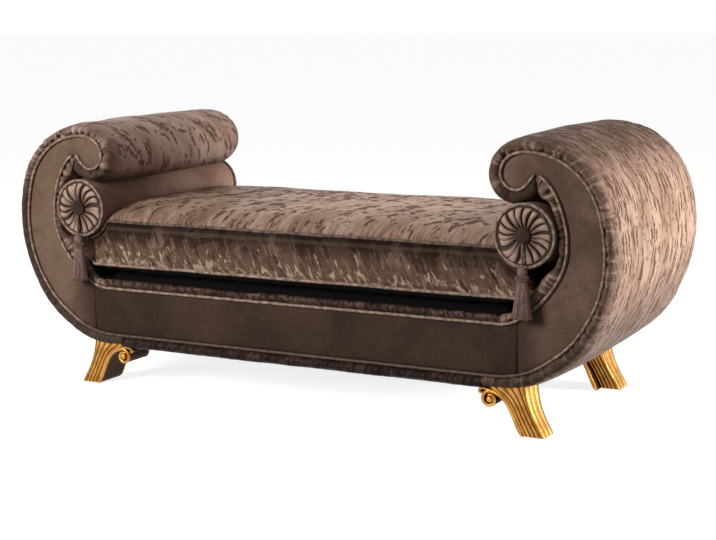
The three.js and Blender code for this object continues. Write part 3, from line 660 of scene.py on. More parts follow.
def satin_cord(name, base, high):
    s = Shader(name)
    x, y, _ = s.xyz(s.cloth())
    turn = s.math("SINE", s.fitted(y, 900.0, s.product(x, 220.0)))
    worn = s.noise(s.vec(x, y, 0), 60.0, 3.0)
    colour = s.mix(s.step(worn, 0.38, 0.66), base, high)
    colour = s.over(colour, toned(base, 0.25), s.number("shade"), 0.8)
    normal = s.bump(worn, 0.003, 0.5)
    normal = s.bump(turn, 0.0002, 0.6, normal)
    return s.finish(Base_Color=colour, Roughness=0.42, Specular_IOR_Level=0.2, Sheen_Weight=0.1,
                    Sheen_Tint=(*high, 1), Normal=normal)


def yarn(name, base, high):
    s = Shader(name)
    x, y, z = s.xyz(s.place())
    fuzz = s.noise(s.vec(x, y, s.product(z, 0.25)), 320.0, 3.0)
    colour = s.mix(s.step(fuzz, 0.35, 0.68), base, high)
    return s.finish(Base_Color=colour, Roughness=0.6, Sheen_Weight=0.4, Sheen_Tint=(*high, 1),
                    Normal=s.bump(fuzz, 0.0012, 0.7))


def rosette_cloth(name, inner, outer, dark):
    """Petals that catch the light at their outer ends, with deep shade in the folds between them."""
    s = Shader(name)
    place = s.place()
    _, r, fold = s.xyz(s.cloth())
    patches = s.noise(place, 60.0, 3.0)
    reach = s.fitted(patches, 0.024, r)
    colour = s.mix(s.step(reach, 0.034, 0.072), inner, outer)
    colour = s.over(colour, dark, s.step(fold, 0.0088, 0.0036))
    normal = s.bump(s.noise(place, 75.0, 3.0), 0.003, 0.4)
    normal = s.bump(s.noise(place, 170.0, 3.0), 0.0008, 0.4, normal)
    return s.finish(Base_Color=colour, Roughness=0.5, Specular_IOR_Level=0.3, Sheen_Weight=0.1,
                    Sheen_Tint=(*outer, 1), Normal=normal)


def gold(name, base, high, patina_and_shade):
    """Gilding, worn on the ribs; dark in the grooves and recesses, partly patina and partly painted shade.
    """
    s = Shader(name)
    place = s.place()
    worn = s.noise(place, 38.0, 4.0, 0.6)
    fine = s.noise(place, 210.0, 3.0, 0.6)
    colour = s.mix(s.step(worn, 0.3, 0.7), base, high)
    # Patina in the grooves, and painted shade on the recessed faces, as the groove number says
    patina_and_shade_mask = s.step(s.fitted(worn, 0.25, s.number("groove")), 0.46, 0.92)
    colour = s.over(colour, patina_and_shade, patina_and_shade_mask)
    normal = s.bump(worn, 0.002, 0.35)
    normal = s.bump(fine, 0.0006, 0.4, normal)
    return s.finish(Base_Color=colour, Metallic=s.step(patina_and_shade_mask, 0.0, 1.0, 0.75, 0.15), Specular_IOR_Level=0.15,
                    Roughness=s.step(patina_and_shade_mask, 0.0, 1.0, 0.38, 0.6), Normal=normal)


def timber(name, base, dark):
    s = Shader(name)
    x, y, z = s.xyz(s.place())
    grain = s.noise(times(s, x, 6.0, y, 70.0, s.product(z, 70.0)), 1.0, 4.0, 0.6, 0.6)
    colour = s.mix(s.step(grain, 0.35, 0.7), base, dark)
    return s.finish(Base_Color=colour, Roughness=s.step(grain, 0.3, 0.7, 0.5, 0.7),
                    Normal=s.bump(grain, 0.001, 0.5))


def plain(name, base, dark, rough=0.85, metal=0.0, shine=0.5):
    s = Shader(name)
    grain = s.noise(s.place(), 120.0, 3.0)
    colour = s.mix(s.step(grain, 0.35, 0.7), base, dark)
    return s.finish(Base_Color=colour, Roughness=rough, Metallic=metal, Specular_IOR_Level=shine,
                    Normal=s.bump(grain, 0.0008, 0.5))


arm_cloth = bark_jacquard("jacquard_arm", linear(170, 135, 115), linear(208, 176, 156),
                          linear(84, 50, 36), turn=0.06)
# The left scroll's jacquard: dashes turned along the roll and larger, and its colours lighter than the
# arm's as painted light
lit_roll_cloth = bark_jacquard("jacquard_roll_lit", linear(184, 149, 133), linear(224, 193, 177),
                           linear(112, 76, 63), turn=0.95, mark=(0.0040, 0.030), sparse=(0.034, 0.066))
top_cloth = bark_jacquard("jacquard_seat", linear(148, 117, 101), linear(186, 155, 137), linear(72, 42, 32),
                          turn=1.87, mark=(0.0090, 0.023), sparse=(0.044, 0.070), slim=0.65, gather=0.5)
# A darker copy of the arm jacquard, as painted shade: the deck's lip under the cushion and the bands along
# the bottom
shaded_lip_cloth = bark_jacquard("jacquard_lip_shaded", linear(68, 51, 46), linear(126, 101, 90), linear(40, 27, 24),
                          turn=1.2, mark=(0.004, 0.016), sparse=(0.016, 0.040), gather=0.3, rough=0.34)
side_cloth = boxing_jacquard("jacquard_boxing", linear(43, 30, 25), linear(148, 117, 99),
                             linear(220, 194, 172))
facing_velvet = velvet("velvet_facing", linear(102, 80, 67), linear(134, 109, 94), seam=linear(72, 54, 46))
rail_velvet = velvet("velvet_rail", linear(60, 44, 38), linear(78, 60, 52))
knob_cloth = velvet("velvet_button", linear(46, 32, 32), linear(84, 66, 60))
barrel_velvet = velvet("velvet_bolster", linear(148, 114, 100), linear(184, 150, 134), weave=0.3)
pleats = rosette_cloth("velvet_rosette", linear(98, 74, 63), linear(184, 153, 134), linear(52, 32, 26))
cord_cloth = satin_cord("satin_piping", linear(124, 99, 87), linear(184, 158, 143))
dark_cord = satin_cord("satin_piping_dark", linear(70, 50, 43), linear(128, 101, 89))
tassel_yarn = yarn("tassel_yarn", linear(92, 66, 60), linear(140, 109, 99))
gilt = gold("gilding", linear(172, 115, 48), linear(208, 157, 82), linear(70, 38, 18))
beech = timber("beech", linear(196, 156, 108), linear(158, 116, 72))
ply = timber("plywood", linear(208, 176, 128), linear(172, 136, 90))
web = plain("webbing", linear(150, 128, 92), linear(118, 96, 66))
lining = plain("lining", linear(22, 17, 18), linear(13, 10, 11), 0.95, shine=0.1)
zinc = plain("zinc", linear(160, 162, 166), linear(120, 122, 126), 0.4, 1.0)


# Camera: the photo's, found from the outline; its middle and its lens are in pixels of the frame

FRAME_WIDTH, FRAME_HEIGHT, SENSOR = 716, 540, 36
MIDDLE_PX = (381.8, 276.45)
LENS_PX = 1580.0
CAMERA_PLACE = (2.0924, -3.7014, 1.0456)
YAW, PITCH, ROLL = 0.4928, 0.1736, -0.0131


def aim(place, yaw, pitch, roll):
    data = bpy.data.cameras.new("view")
    cam = show("view", data)
    forward = Vector((-math.sin(yaw) * math.cos(pitch), math.cos(yaw) * math.cos(pitch), -math.sin(pitch)))
    right = Vector((math.cos(yaw), math.sin(yaw), 0))
    up = right.cross(forward)
    across = math.cos(roll) * right + math.sin(roll) * up
    upright = -math.sin(roll) * right + math.cos(roll) * up
    turn = Matrix((across, upright, -forward)).transposed()
    cam.matrix_world = Matrix.Translation(Vector(place)) @ turn.to_4x4()
    data.sensor_width = SENSOR
    data.lens = SENSOR * LENS_PX / FRAME_WIDTH
    data.shift_x = (FRAME_WIDTH / 2 - MIDDLE_PX[0]) / FRAME_WIDTH
    data.shift_y = (MIDDLE_PX[1] - FRAME_HEIGHT / 2) / FRAME_WIDTH
    data.clip_end = 80
    bpy.context.scene.camera = cam


aim(CAMERA_PLACE, YAW, PITCH, ROLL)


# Padded wraps

PAD = 33.0
OUTER_PROFILE = [(0, 0), (0.07, 0.38), (0.19, 0.78), (0.37, 1.0), (0.57, 0.92), (0.75, 0.48), (0.87, -0.4),
                 (0.945, -1.4), (0.985, -2.4), (1, -3.6)]
INNER_PROFILE = [(0, 0), (0.14, 0.5), (0.36, 0.92), (0.62, 1.0), (0.84, 0.6), (0.95, -0.3), (1, -1.4)]
CUSP = (673.0, 638.2)
CREASE = (math.cos(math.radians(-71)), math.sin(math.radians(-71)))
CREASE_LENGTH = 75.0
BOLSTER_ROOM = 80.0
WRAP_START = 3.0
WRAP_STEP = 3.3
WELT_GAP = 0.3
TUCK = 7.0
MOST_LIFT = 2.4


def section(profile, bulge, flat):
    """The cross-section of a wrap, front welt to back welt: offsets and depths, run and directions."""
    lip = spaced(spline([(o * PAD, f * bulge) for o, f in profile], 8), 2.6)[:-1]
    front = [(o, -(WELT_FACE + f)) for o, f in lip]
    reach = -front[-1][1]
    near = np.arange(4.0, 56.0, 4.0)
    far = np.linspace(60.0, reach, 20)
    depths = np.concatenate([reach - near, reach - far])
    crown = [(PAD + flat * (1 - (d / reach) ** 2), -d) for d in depths]
    half = front + crown
    ring = np.array(half + [(o, -d) for o, d in reversed(half[:-1])])
    return ring, runs(ring), to_right(headings(ring))


def rest_against(x, z, turn):
    """Keeps padding on its side of the crease under the curl, and off the bolster."""
    dx, dz = x - CUSP[0], z - CUSP[1]
    aside = (CREASE[0] * dz - CREASE[1] * dx) * turn
    along = dx * CREASE[0] + dz * CREASE[1]
    over = (along > 0) & (along < CREASE_LENGTH) & (aside < 0.5) & (aside > -60)
    shift = np.where(over, 0.5 - aside, 0.0) * turn
    x, z = x - CREASE[1] * shift, z + CREASE[0] * shift
    ax, az = x - AXIS_X, z - AXIS_Z
    grow = np.maximum(1.0, BOLSTER_ROOM / np.maximum(np.hypot(ax, az), 1e-6))
    return AXIS_X + ax * grow, AXIS_Z + az * grow


def wrap(name, seam, side, seed, pad_at, profile, bulge, flat, turn, calm=0.0):
    """Padding along a scroll seam, tucked at both welts; also each point's share of the seam's run."""
    unit, across, out = section(profile, bulge, flat)
    keep = seam.run >= WRAP_START
    run = seam.run[keep][:, None]
    share = run / seam.run[-1]
    offset, depth = unit[None, :, 0], unit[None, :, 1]
    taper = np.minimum(1.0, run / 24.0)
    pad = pad_at(run, share) * taper
    o = WELT_GAP + offset / PAD * (pad - WELT_GAP)
    lip = abs(depth) - WELT_FACE
    d = np.where(lip > 0, np.sign(depth) * (WELT_FACE + lip * taper), depth)
    edge = np.broadcast_to(np.minimum(across, across[-1] - across)[None, :], o.shape)
    tuck = np.where(depth < 0, gathers(run, edge, seed), gathers(run, edge, seed + 7))
    strength = 1 + 0.8 * smooth((0.40 - share) / 0.1) - calm * smooth((share - 0.42) / 0.08)
    tuck = tuck * np.minimum(1, edge / 6) * strength
    wave = 2.0 * ripple(run / 75.0, depth / 95.0, seed) * np.minimum(1, edge / 30)
    drag = 0.9 * ripple(run / 24.0, depth / 120.0, seed + 2) * np.minimum(1, edge / 20)
    lift = np.minimum((TUCK * tuck + wave + drag) * np.minimum(1.0, run / 60.0), MOST_LIFT)
    o = np.maximum(o + lift * out[None, :, 0], WELT_GAP)
    d = d + lift * out[None, :, 1]
    p, away = seam.p[keep], seam.away[keep]
    x, z = rest_against(p[:, :1] + away[:, :1] * o, p[:, 1:] + away[:, 1:] * o, turn)
    piece = loft(name, joined(x * side, d, z), joined(across, run, edge))
    # How deep each tuck is, for the cloth to paint shade in its valley
    float_layer(piece, "fold", np.clip(-tuck, 0, 1))
    return piece, share + 0 * o


def outer_pad(run, share):
    """Thicker at the curl, and once more at the belly, low on the outside."""
    belly = 7.0 * smooth((share - 0.66) / 0.14) * smooth((0.985 - share) / 0.07)
    return lerp(40.0, 33.0, smooth((run - 120) / 120)) + belly


def inner_pad(run, share):
    """Full at the curl, thin beside the bolster, full again below it, thin under the cushion."""
    full = lerp(46.0, 24.0, smooth((run - 40) / 60))
    return full + 13.0 * smooth((share - 0.50) / 0.16) - 15.0 * smooth((share - 0.80) / 0.12)


# The two outer wraps differ: cloth, how calm the outline is, where and how deep the shade is, close dashes
# on a ground darkened as painted shade
OUTER_LOOK = {"left": (lit_roll_cloth, 0.75, (0.35, 0.14, 1.0), 0.0),
              "right": (arm_cloth, 0.0, (0.56, 0.20, 0.62), 1.0)}
UNDER_CUSHION = 345.0
for side, s in SIDES:
    cloth, calm, (dark_from, dark_over, most_dark), close_and_shaded = OUTER_LOOK[side]
    piece, share = wrap("arm_outside_" + side, outer_seam(WRAP_STEP), s, 3.0 + s, outer_pad, OUTER_PROFILE,
                        15.0, 3.0, -1, calm)
    give(piece, cloth)
    below = most_dark * smooth((share - dark_from) / dark_over)
    crease = np.maximum(0.95 * smooth((0.11 - share) / 0.04), 0.3 * smooth((0.17 - share) / 0.08))
    float_layer(piece, "shade", np.maximum(below, crease), 1.0)
    # Close dashes, and painted shade on their ground, over the right arm's top
    float_layer(piece, "dense_and_shaded", close_and_shaded * smooth((0.42 - share) / 0.14))
    body(piece, "frame", "jacquard", "outer_wrap_" + side, fill=0.8)
    piece, share = wrap("arm_inside_" + side, inner_seam(WRAP_STEP), s, 8.0 + s, inner_pad, INNER_PROFILE,
                        12.0, 0.0, 1)
    give(piece, arm_cloth, lining)
    float_layer(piece, "shade", 0.75 * smooth((share - 0.20) / 0.1) * smooth((0.62 - share) / 0.1))
    # Dark lining on the inner faces below the cushion, also painted shade
    lining_and_shade_where(piece, lambda inward, z: inward > 6 and z < UNDER_CUSHION)
    body(piece, "frame", "jacquard", "inner_wrap_" + side, fill=0.8)


# Long pads: the deck under the cushion and the band along the bottom

def long_pad(name, profile, half, fold_of, seed, pitch):
    line = spaced(spline(profile, 10), 4.0)
    run = runs(line)
    out = to_right(headings(line))
    if np.sum(np.cross(np.roll(line, 1, 0), line)) < 0:
        out = -out
    x = np.linspace(-half, half, int(2 * half / 3.6))[:, None]
    y, z = line[None, :, 0], line[None, :, 1]
    k = fold_of(abs(y), z)
    near = gathers(x + 2000, 4.0, seed, pitch)
    fine = ripple(x / 9.0, z / 25.0, y / 150.0)
    lift = k * (2.4 * near + 2.6 * ripple(x / 60.0, seed, 2) + 0.5 * fine)
    y = y + lift * out[None, :, 0]
    z = z + lift * out[None, :, 1]
    return loft(name, joined(x, y, z), joined(run[None, :], x, 30 * (1 - k)))


PAD_GAP = 0.3
LIP_PROUD = 11


def lip_fold(y, z):
    return smooth((y - (FRONT - 22)) / 16) * smooth((z - DECK_LINE - 4) / 10)


# The deck's lip is a darker copy of the jacquard, as painted shade under the cushion's overhang; what lies
# under the cushion is dark cloth, also painted shade
deck_line = [(-FRONT - LIP_PROUD + b, DECK_LINE + PAD_GAP + u) for b, u in
             [(12.2, 0), (10, 2.5), (6, 6.5), (1.5, 12), (0.5, 17), (4, 21.5), (10, 23.4), (17, 21.8),
              (26, 21.5), (40, 24), (56, 30), (72, 37), (84, 39.4), (100, 39.6)]]
deck_line += [(-y, z) for y, z in reversed(deck_line)]
deck = long_pad("deck", deck_line, DECK_HALF - PAD_GAP, lip_fold, 21.0, 52.0)
give(deck, shaded_lip_cloth, lining)
lining_and_shade_where(deck, lambda inward, z: inward > 2 and z > DECK_LINE + LIP_PROUD)
body(deck, "frame", "jacquard", "deck_pad", fill=0.7)

BAND_PROUD, BAND_DEEP, BAND_HIGH, BAND_FOOT = 14, 44, 33.4, 113.3


def band_fold(y, z):
    return smooth((y - FRONT + 6) / 14) * 0.7


band_line = [(-FRONT - BAND_PROUD + b * BAND_DEEP, BAND_FOOT + u * BAND_HIGH) for b, u in
             [(0.39, 1), (0.27, 0.86), (0.11, 0.76), (0, 0.5), (0.06, 0.22), (0.31, 0.03), (0.66, 0),
              (1, 0), (1, 1)]]
for face, f in FACES:
    line = [(y * f, z) for y, z in band_line]
    piece = long_pad("band_" + face, line, WRAP_FOOT - PAD_GAP, band_fold, 31.0 + f, 30.0)
    # The bands take the shaded copy of the jacquard and the shade number: painted shade
    give(piece, shaded_lip_cloth)
    float_layer(piece, "shade", [], 0.7)
    body(piece, "frame", "jacquard", "bottom_band_" + face, fill=0.6)


# Velvet covers: flat shapes with a slight puff, drawn down at their seams

COVER_FACE = FRONT - 1.5
COVER_BACK = FRONT - 7.8
COVER_PUFF = 3.2
COVER_PITCH = 9.0
SEAM_GAP = 0.4


def points_inside(outline):
    """A staggered lattice of points inside an outline, and how far each lies from it."""
    xs = np.arange(outline[:, 0].min(), outline[:, 0].max(), COVER_PITCH)
    zs = np.arange(outline[:, 1].min(), outline[:, 1].max(), COVER_PITCH)
    gx, gz = np.meshgrid(xs, zs)
    gx = gx + (np.arange(len(zs)) % 2)[:, None] * COVER_PITCH / 2
    pts = joined(gx.ravel(), gz.ravel())
    dist = np.full(len(pts), 1e9)
    inside = np.zeros(len(pts), bool)
    for p, q in zip(outline, np.roll(outline, -1, axis=0)):
        d = q - p
        t = np.clip(((pts - p) @ d) / max(d @ d, 1e-9), 0, 1)
        dist = np.minimum(dist, np.linalg.norm(pts - (p + t[:, None] * d), axis=1))
        crosses = (p[1] > pts[:, 1]) != (q[1] > pts[:, 1])
        with np.errstate(divide="ignore", invalid="ignore"):
            at = p[0] + (pts[:, 1] - p[1]) * d[0] / d[1]
        inside ^= crosses & (pts[:, 0] < at)
    keep = inside & (dist > COVER_PITCH * 0.45)
    return pts[keep], dist[keep]


def cover(name, outline, face):
    """Velvet inside an outline, front or back: a puffed face over a flat back."""
    outline = np.array(outline, float)
    n = len(outline)
    pts, dist = points_inside(outline)
    places = [Vector(p) for p in np.vstack([outline, pts])]
    edges = [(i, (i + 1) % n) for i in range(n)]
    flat, _, faces, _, _, _ = geometry.delaunay_2d_cdt(places, edges, [], 1, 1e-6)
    flat = np.array([tuple(v) for v in flat])
    dist = np.concatenate([np.zeros(n), dist])
    lift = COVER_PUFF * (1 - np.exp(-dist / 9.0))
    lift = lift + 0.5 * ripple(flat[:, 0] / 45, flat[:, 1] / 45) * np.minimum(1, dist / 20)
    top = joined(flat[:, 0], -(COVER_FACE + lift) * face, flat[:, 1])
    mesh = bpy.data.meshes.new(name)
    mesh.from_pydata(top.tolist(), [], faces)
    bm = bmesh.new()
    bm.from_mesh(mesh)
    rim = [e for e in bm.edges if e.is_boundary]
    for part in bmesh.ops.extrude_edge_only(bm, edges=rim)["geom"]:
        if isinstance(part, bmesh.types.BMVert):
            part.co.y = -COVER_BACK * face
    bmesh.ops.holes_fill(bm, edges=[e for e in bm.edges if e.is_boundary], sides=0)
    bmesh.ops.recalc_face_normals(bm, faces=bm.faces)
    points = [tuple(v.co) for v in bm.verts]
    bm.to_mesh(mesh)
    bm.free()
    place_points(mesh, points)
    return show(name, mesh)


def clip_after(points, place):
    """The line up to where it last passes a place along the seat."""
    k = len(points) - 1
    while points[k][0] < place:
        k -= 1
    a, b = points[k], points[k + 1]
    t = (a[0] - place) / (a[0] - b[0])
    return [*points[: k + 1], a + (b - a) * t]


def to_middle(seam, top):
    """The seam's low stretch from the facing's edge to the middle of the bench."""
    start = FACING_SEAM - SEAM_GAP
    line = [clip_after(seam.p, start)[-1], *[p for p in seam.p if p[0] < start and p[1] < top]]
    return line + [np.array((x, line[-1][1])) for x in np.arange(line[-1][0] - 10, 0, -12.0)]


def mirrored(points):
    return [np.array((-x, z)) for x, z in points]


seam_o, seam_i = outer_seam(8.0), inner_seam(8.0)
arm_outline = [*clip_after(seam_o.p, FACING_SEAM + SEAM_GAP)[1:],
               *clip_after(seam_i.p, FACING_SEAM + SEAM_GAP)[::-1]]
low, high = to_middle(seam_o, 300), to_middle(seam_i, 400)
rail_outline = [*low, *mirrored(low[::-1]), *mirrored(high), *high[::-1]]

for face, f in FACES:
    piece = cover("rail_velvet_" + face, rail_outline, f)
    give(piece, rail_velvet)
    body(piece, "frame", "velvet", "rail_cover_" + face, fill=0.3)
    for side, s in SIDES:
        piece = cover("facing_velvet_%s_%s" % (side, face), [(x * s, z) for x, z in arm_outline], f)
        give(piece, facing_velvet)
        body(piece, "frame", "velvet", "arm_facing_%s_%s" % (side, face), fill=0.3)


# Piping along the seams

CORD = 4.0
CORD_PROUD = 3.6
CORD_STEP = 5.0
INNER_CORD_START = 13.0


def seam_path(seam, start):
    """A seam's line from scroll to scroll."""
    right = [(x, z) for x, z in seam.p[seam.run >= start]]
    end = right[-1]
    fill = [(x, end[1]) for x in np.arange(end[0] - 6, -end[0], -6.0)]
    left = [(-x, z) for x, z in reversed(right)]
    return right + fill + left


for face, f in FACES:
    for name, seam, start in (("outer", outer_seam, 0.0), ("inner", inner_seam, INNER_CORD_START)):
        path = [(x, -(FRONT + CORD_PROUD) * f, z) for x, z in seam_path(seam(CORD_STEP), start)]
        piece = tube("%s_cord_%s" % (name, face), path, CORD, uneven=0.10)
        give(piece, cord_cloth)
        height = np.repeat([z for _, _, z in path], TUBE_SIDES)
        float_layer(piece, "shade", smooth((190 - height) / 30))
        body(piece, "frame", "piping", "%s_piping_%s" % (name, face))


# Seat cushion

CORNER = 34.0
HOLLOW = 79.6
BOXING_BULGE, BOXING_WAIST = 8.0, 2.5
CROWN, UNDERSIDE = 41.0, 21.5
BELOW, BESIDE, ABOVE = 0, 1, 2


def puff(t):
    return math.sqrt(1 - (1 - min(1.0, max(0.0, t) / 0.62)) ** 2)


def under_bolster(x, radius, otherwise):
    """Height of an underside of that radius about the bolster's axis, where it lies above the seat."""
    away = abs(x) - AXIS_X
    return AXIS_Z - math.sqrt(radius**2 - away * away) if abs(away) < radius else otherwise


def cushion_ring(x):
    """Points round the cushion at one place along it: y, z, place on the cloth, part, way to a seam."""
    ax = abs(x)
    turned_in = max(0.0, ax - (CUSHION_HALF - CORNER))
    half = WELT_FACE - (CORNER - math.sqrt(max(0.0, CORNER**2 - turned_in**2)))
    end = puff((CUSHION_HALF - ax) / WELT_FACE)
    under_end = puff(2 * (CUSHION_HALF - ax) / WELT_FACE)
    ceiling = under_bolster(x, HOLLOW, 1e9)
    high = min(CUSHION_HIGH, ceiling)
    dip = max(0.0, min(1.0, (600 - ax) / 90))
    arc = np.cos(np.linspace(0, math.pi / 2, 26))[:-1]
    levels = np.concatenate([-arc, [0], arc[::-1]])
    ups = np.linspace(0, 1, 20)[1:-1]
    swell = BOXING_BULGE * dip * (1 - (2 * ups - 1) ** 2) - BOXING_WAIST * dip * abs(2 * ups - 1) ** 6

    def wall(face, ups, swell):
        return [(face * (half + out), lerp(CUSHION_LOW, high, t), x, t * BOXING, BESIDE,
                 min(t, 1 - t) * BOXING) for t, out in zip(ups, swell)]

    points = []
    for t in levels:
        z = CUSHION_LOW - UNDERSIDE * puff(2 * (1 - abs(t))) * under_end
        points.append((t * half, z, t * half, x, BELOW, (1 - abs(t)) * half))
    points += wall(1, ups, swell)
    for t in -levels:
        z = min(CUSHION_HIGH + CROWN * puff(1 - abs(t)) * end, ceiling)
        points.append((t * half, z, t * half, x, ABOVE, (1 - abs(t)) * half))
    return points + wall(-1, ups[::-1], swell[::-1])


def cushion_stations():
    """Places along the cushion for its rings, closer together where it is hollowed."""
    places = list(np.arange(0, 560, 9.0)) + [566, 571, 574, 576.3]
    places += [AXIS_X - HOLLOW * math.cos(a) for a in np.linspace(0.08, math.pi / 2, 20)]
    places = sorted(v for v in places if v < CUSHION_HALF - 1) + [CUSHION_HALF]
    places = [v for i, v in enumerate(places) if i == 0 or v - places[i - 1] > 0.4]
    return [-v for v in reversed(places[1:])] + places


stations = cushion_stations()
y, z, cloth_x, cloth_y, kind, edge = np.moveaxis(np.array([cushion_ring(x) for x in stations]), 2, 0)
x = np.broadcast_to(np.array(stations)[:, None], y.shape)
ceiling = np.array([under_bolster(v, HOLLOW, 1e9) for v in stations])[:, None]
side_wave = 2.0 * ripple(x / 17, z / 60, 1) + 2.0 * ripple(x / 60, z / 50, 5)
y = y + np.sign(y) * (kind == BESIDE) * side_wave * np.minimum(1, edge / 12)
near_seam = np.minimum(1, edge / 6) * (0.35 + np.exp(-edge / 22))
top_wave = 1.3 * ripple(x / 19, y / 60, 7) * near_seam + 2.4 * ripple(x / 120, y / 100, 2)
z = z + ((kind == ABOVE) & (z < ceiling - 3)) * top_wave * np.minimum(1, edge / 15)
z = np.minimum(z, ceiling)
cushion = loft("seat_pad", joined(x, y, z), joined(cloth_x, cloth_y, edge))
give(cushion, top_cloth, side_cloth, lining)
kinds = np.concatenate([kind.ravel(), [BESIDE, BESIDE]]).astype(int)
# The underside takes the dark lining, which also stands as painted shade under the cushion
CLOTH_OF = {ABOVE: 0, BESIDE: 1, BELOW: 2}
for poly in cushion.data.polygons:
    votes = [kinds[i] for i in poly.vertices]
    beside = votes.count(BESIDE) * 2 >= len(votes)
    poly.material_index = CLOTH_OF[BESIDE if beside else max(votes, key=votes.count)]
pinned = (edge < 3) | (abs(x) > 560)
settle(cushion, np.concatenate([pinned.ravel(), [True, True]]), cap=5.0)
body(cushion, "cushion", "jacquard", "seat_cushion", fill=0.8)


CUSHION_CORD = 4.2
CUSHION_CORD_PROUD = 3.4


def under_the_bolsters(x, z):
    return min(z, under_bolster(x, HOLLOW + 4.6, z))


def over_the_deck(x, z):
    return max(z, DECK_TOP + 8 + max(0, abs(x) - 600) * 0.55)


def cushion_cord(name, height, kept_clear, material, node):
    """Piping round the cushion, a little wavy and clear of what it would touch."""
    long, deep = CUSHION_HALF - CORNER, WELT_FACE - CORNER
    quarter = [((x, -WELT_FACE), (0, -1)) for x in np.arange(0, long, 5.0)]
    quarter += [((long + CORNER * math.cos(a), -deep + CORNER * math.sin(a)), (math.cos(a), math.sin(a)))
                for a in np.linspace(-math.pi / 2, 0, 14)]
    quarter += [((CUSHION_HALF, y), (1, 0)) for y in np.arange(-deep + 8, 0, 8.0)]
    half = quarter + [((p[0], -p[1]), (n[0], -n[1])) for p, n in reversed(quarter[:-1])]
    whole = half + [((-p[0], -p[1]), (-n[0], -n[1])) for p, n in half[1:]][:-1]
    points = []
    for (px, py), (nx, ny) in whole:
        x, y = px + nx * CUSHION_CORD_PROUD, py + ny * CUSHION_CORD_PROUD
        z = height + 1.6 * float(ripple(x / 80, y / 80, height))
        points.append((x, y, kept_clear(x, z)))
    piece = tube(name, points, CUSHION_CORD, closed=True, uneven=0.10)
    give(piece, material)
    body(piece, "cushion", "piping", node)


cushion_cord("pad_cord_top", CUSHION_HIGH - 3.5, under_the_bolsters, dark_cord, "cushion_piping_top")
cushion_cord("pad_cord_bottom", CUSHION_LOW + 3.5, over_the_deck, cord_cloth, "cushion_piping_bottom")


# Bolsters, rosettes, buttons

BARREL_SIDES, KNOB_SIDES, RIM_STEPS = 96, 60, 90
END = BOLSTER_HALF - 0.4
BARREL = [(0.01, -END), (30, -END), (60, -END), (73, -END + 1.1), (76.5, -END + 5.6)]
BARREL += [(78.6, d) for d in np.linspace(-309, 309, 70)]
BARREL += [(76.5, END - 5.6), (73, END - 1.1), (60, END), (30, END), (0.01, END)]
KNOB = [(0.01, 0), (11, 0), (16.2, 0.8), (18.8, 3.2), (18.4, 5.2), (15.2, 7.4), (10, 8.6), (4, 9),
        (0.01, 9)]
KNOB_SEAT = BOLSTER_HALF + 5.6
PETALS, PETAL_STEPS = 18, 22
RIM, RIM_CORD, RIM_SEAT = 78.0, 75.0, BOLSTER_HALF + 2.6
ROSETTE_SEAT = BOLSTER_HALF + 0.3
ROSETTE_ROOM = 13.2


def turned(name, profile, cx, sides, wobble):
    """A turned shape about the bolster's axis from radii and depths, closed at both ends."""
    profile = np.array(profile, float)
    r, d = profile[:, :1], profile[:, 1:]
    a = around(sides)[None, :]
    dr, dd = wobble(r, d, a)
    x = cx + (r + dr) * np.cos(a)
    z = AXIS_Z + (r + dr) * np.sin(a)
    return loft(name, joined(x, d + dd, z), joined(a * r, runs(profile)[:, None], 0.0))


def barrel_wobble(r, d, a):
    near = np.exp(-(BOLSTER_HALF - abs(d)) / 24.0)
    w = 1.5 * near * ripple(np.cos(a) * 9 + 40, np.sin(a) * 9, d / 60)
    w = w + 1.1 * ripple(np.cos(a) * 1.6 + 40, np.sin(a) * 1.6, d / 130)
    return np.minimum(0.9, w) - 1.0, 0


def knob_wobble(r, d, a):
    dent = 1.9 * ripple(r * np.cos(a) / 2.8 + 40, r * np.sin(a) / 2.8, 1) * np.minimum(1, r / 3)
    return 0.0, np.sign(d) * dent


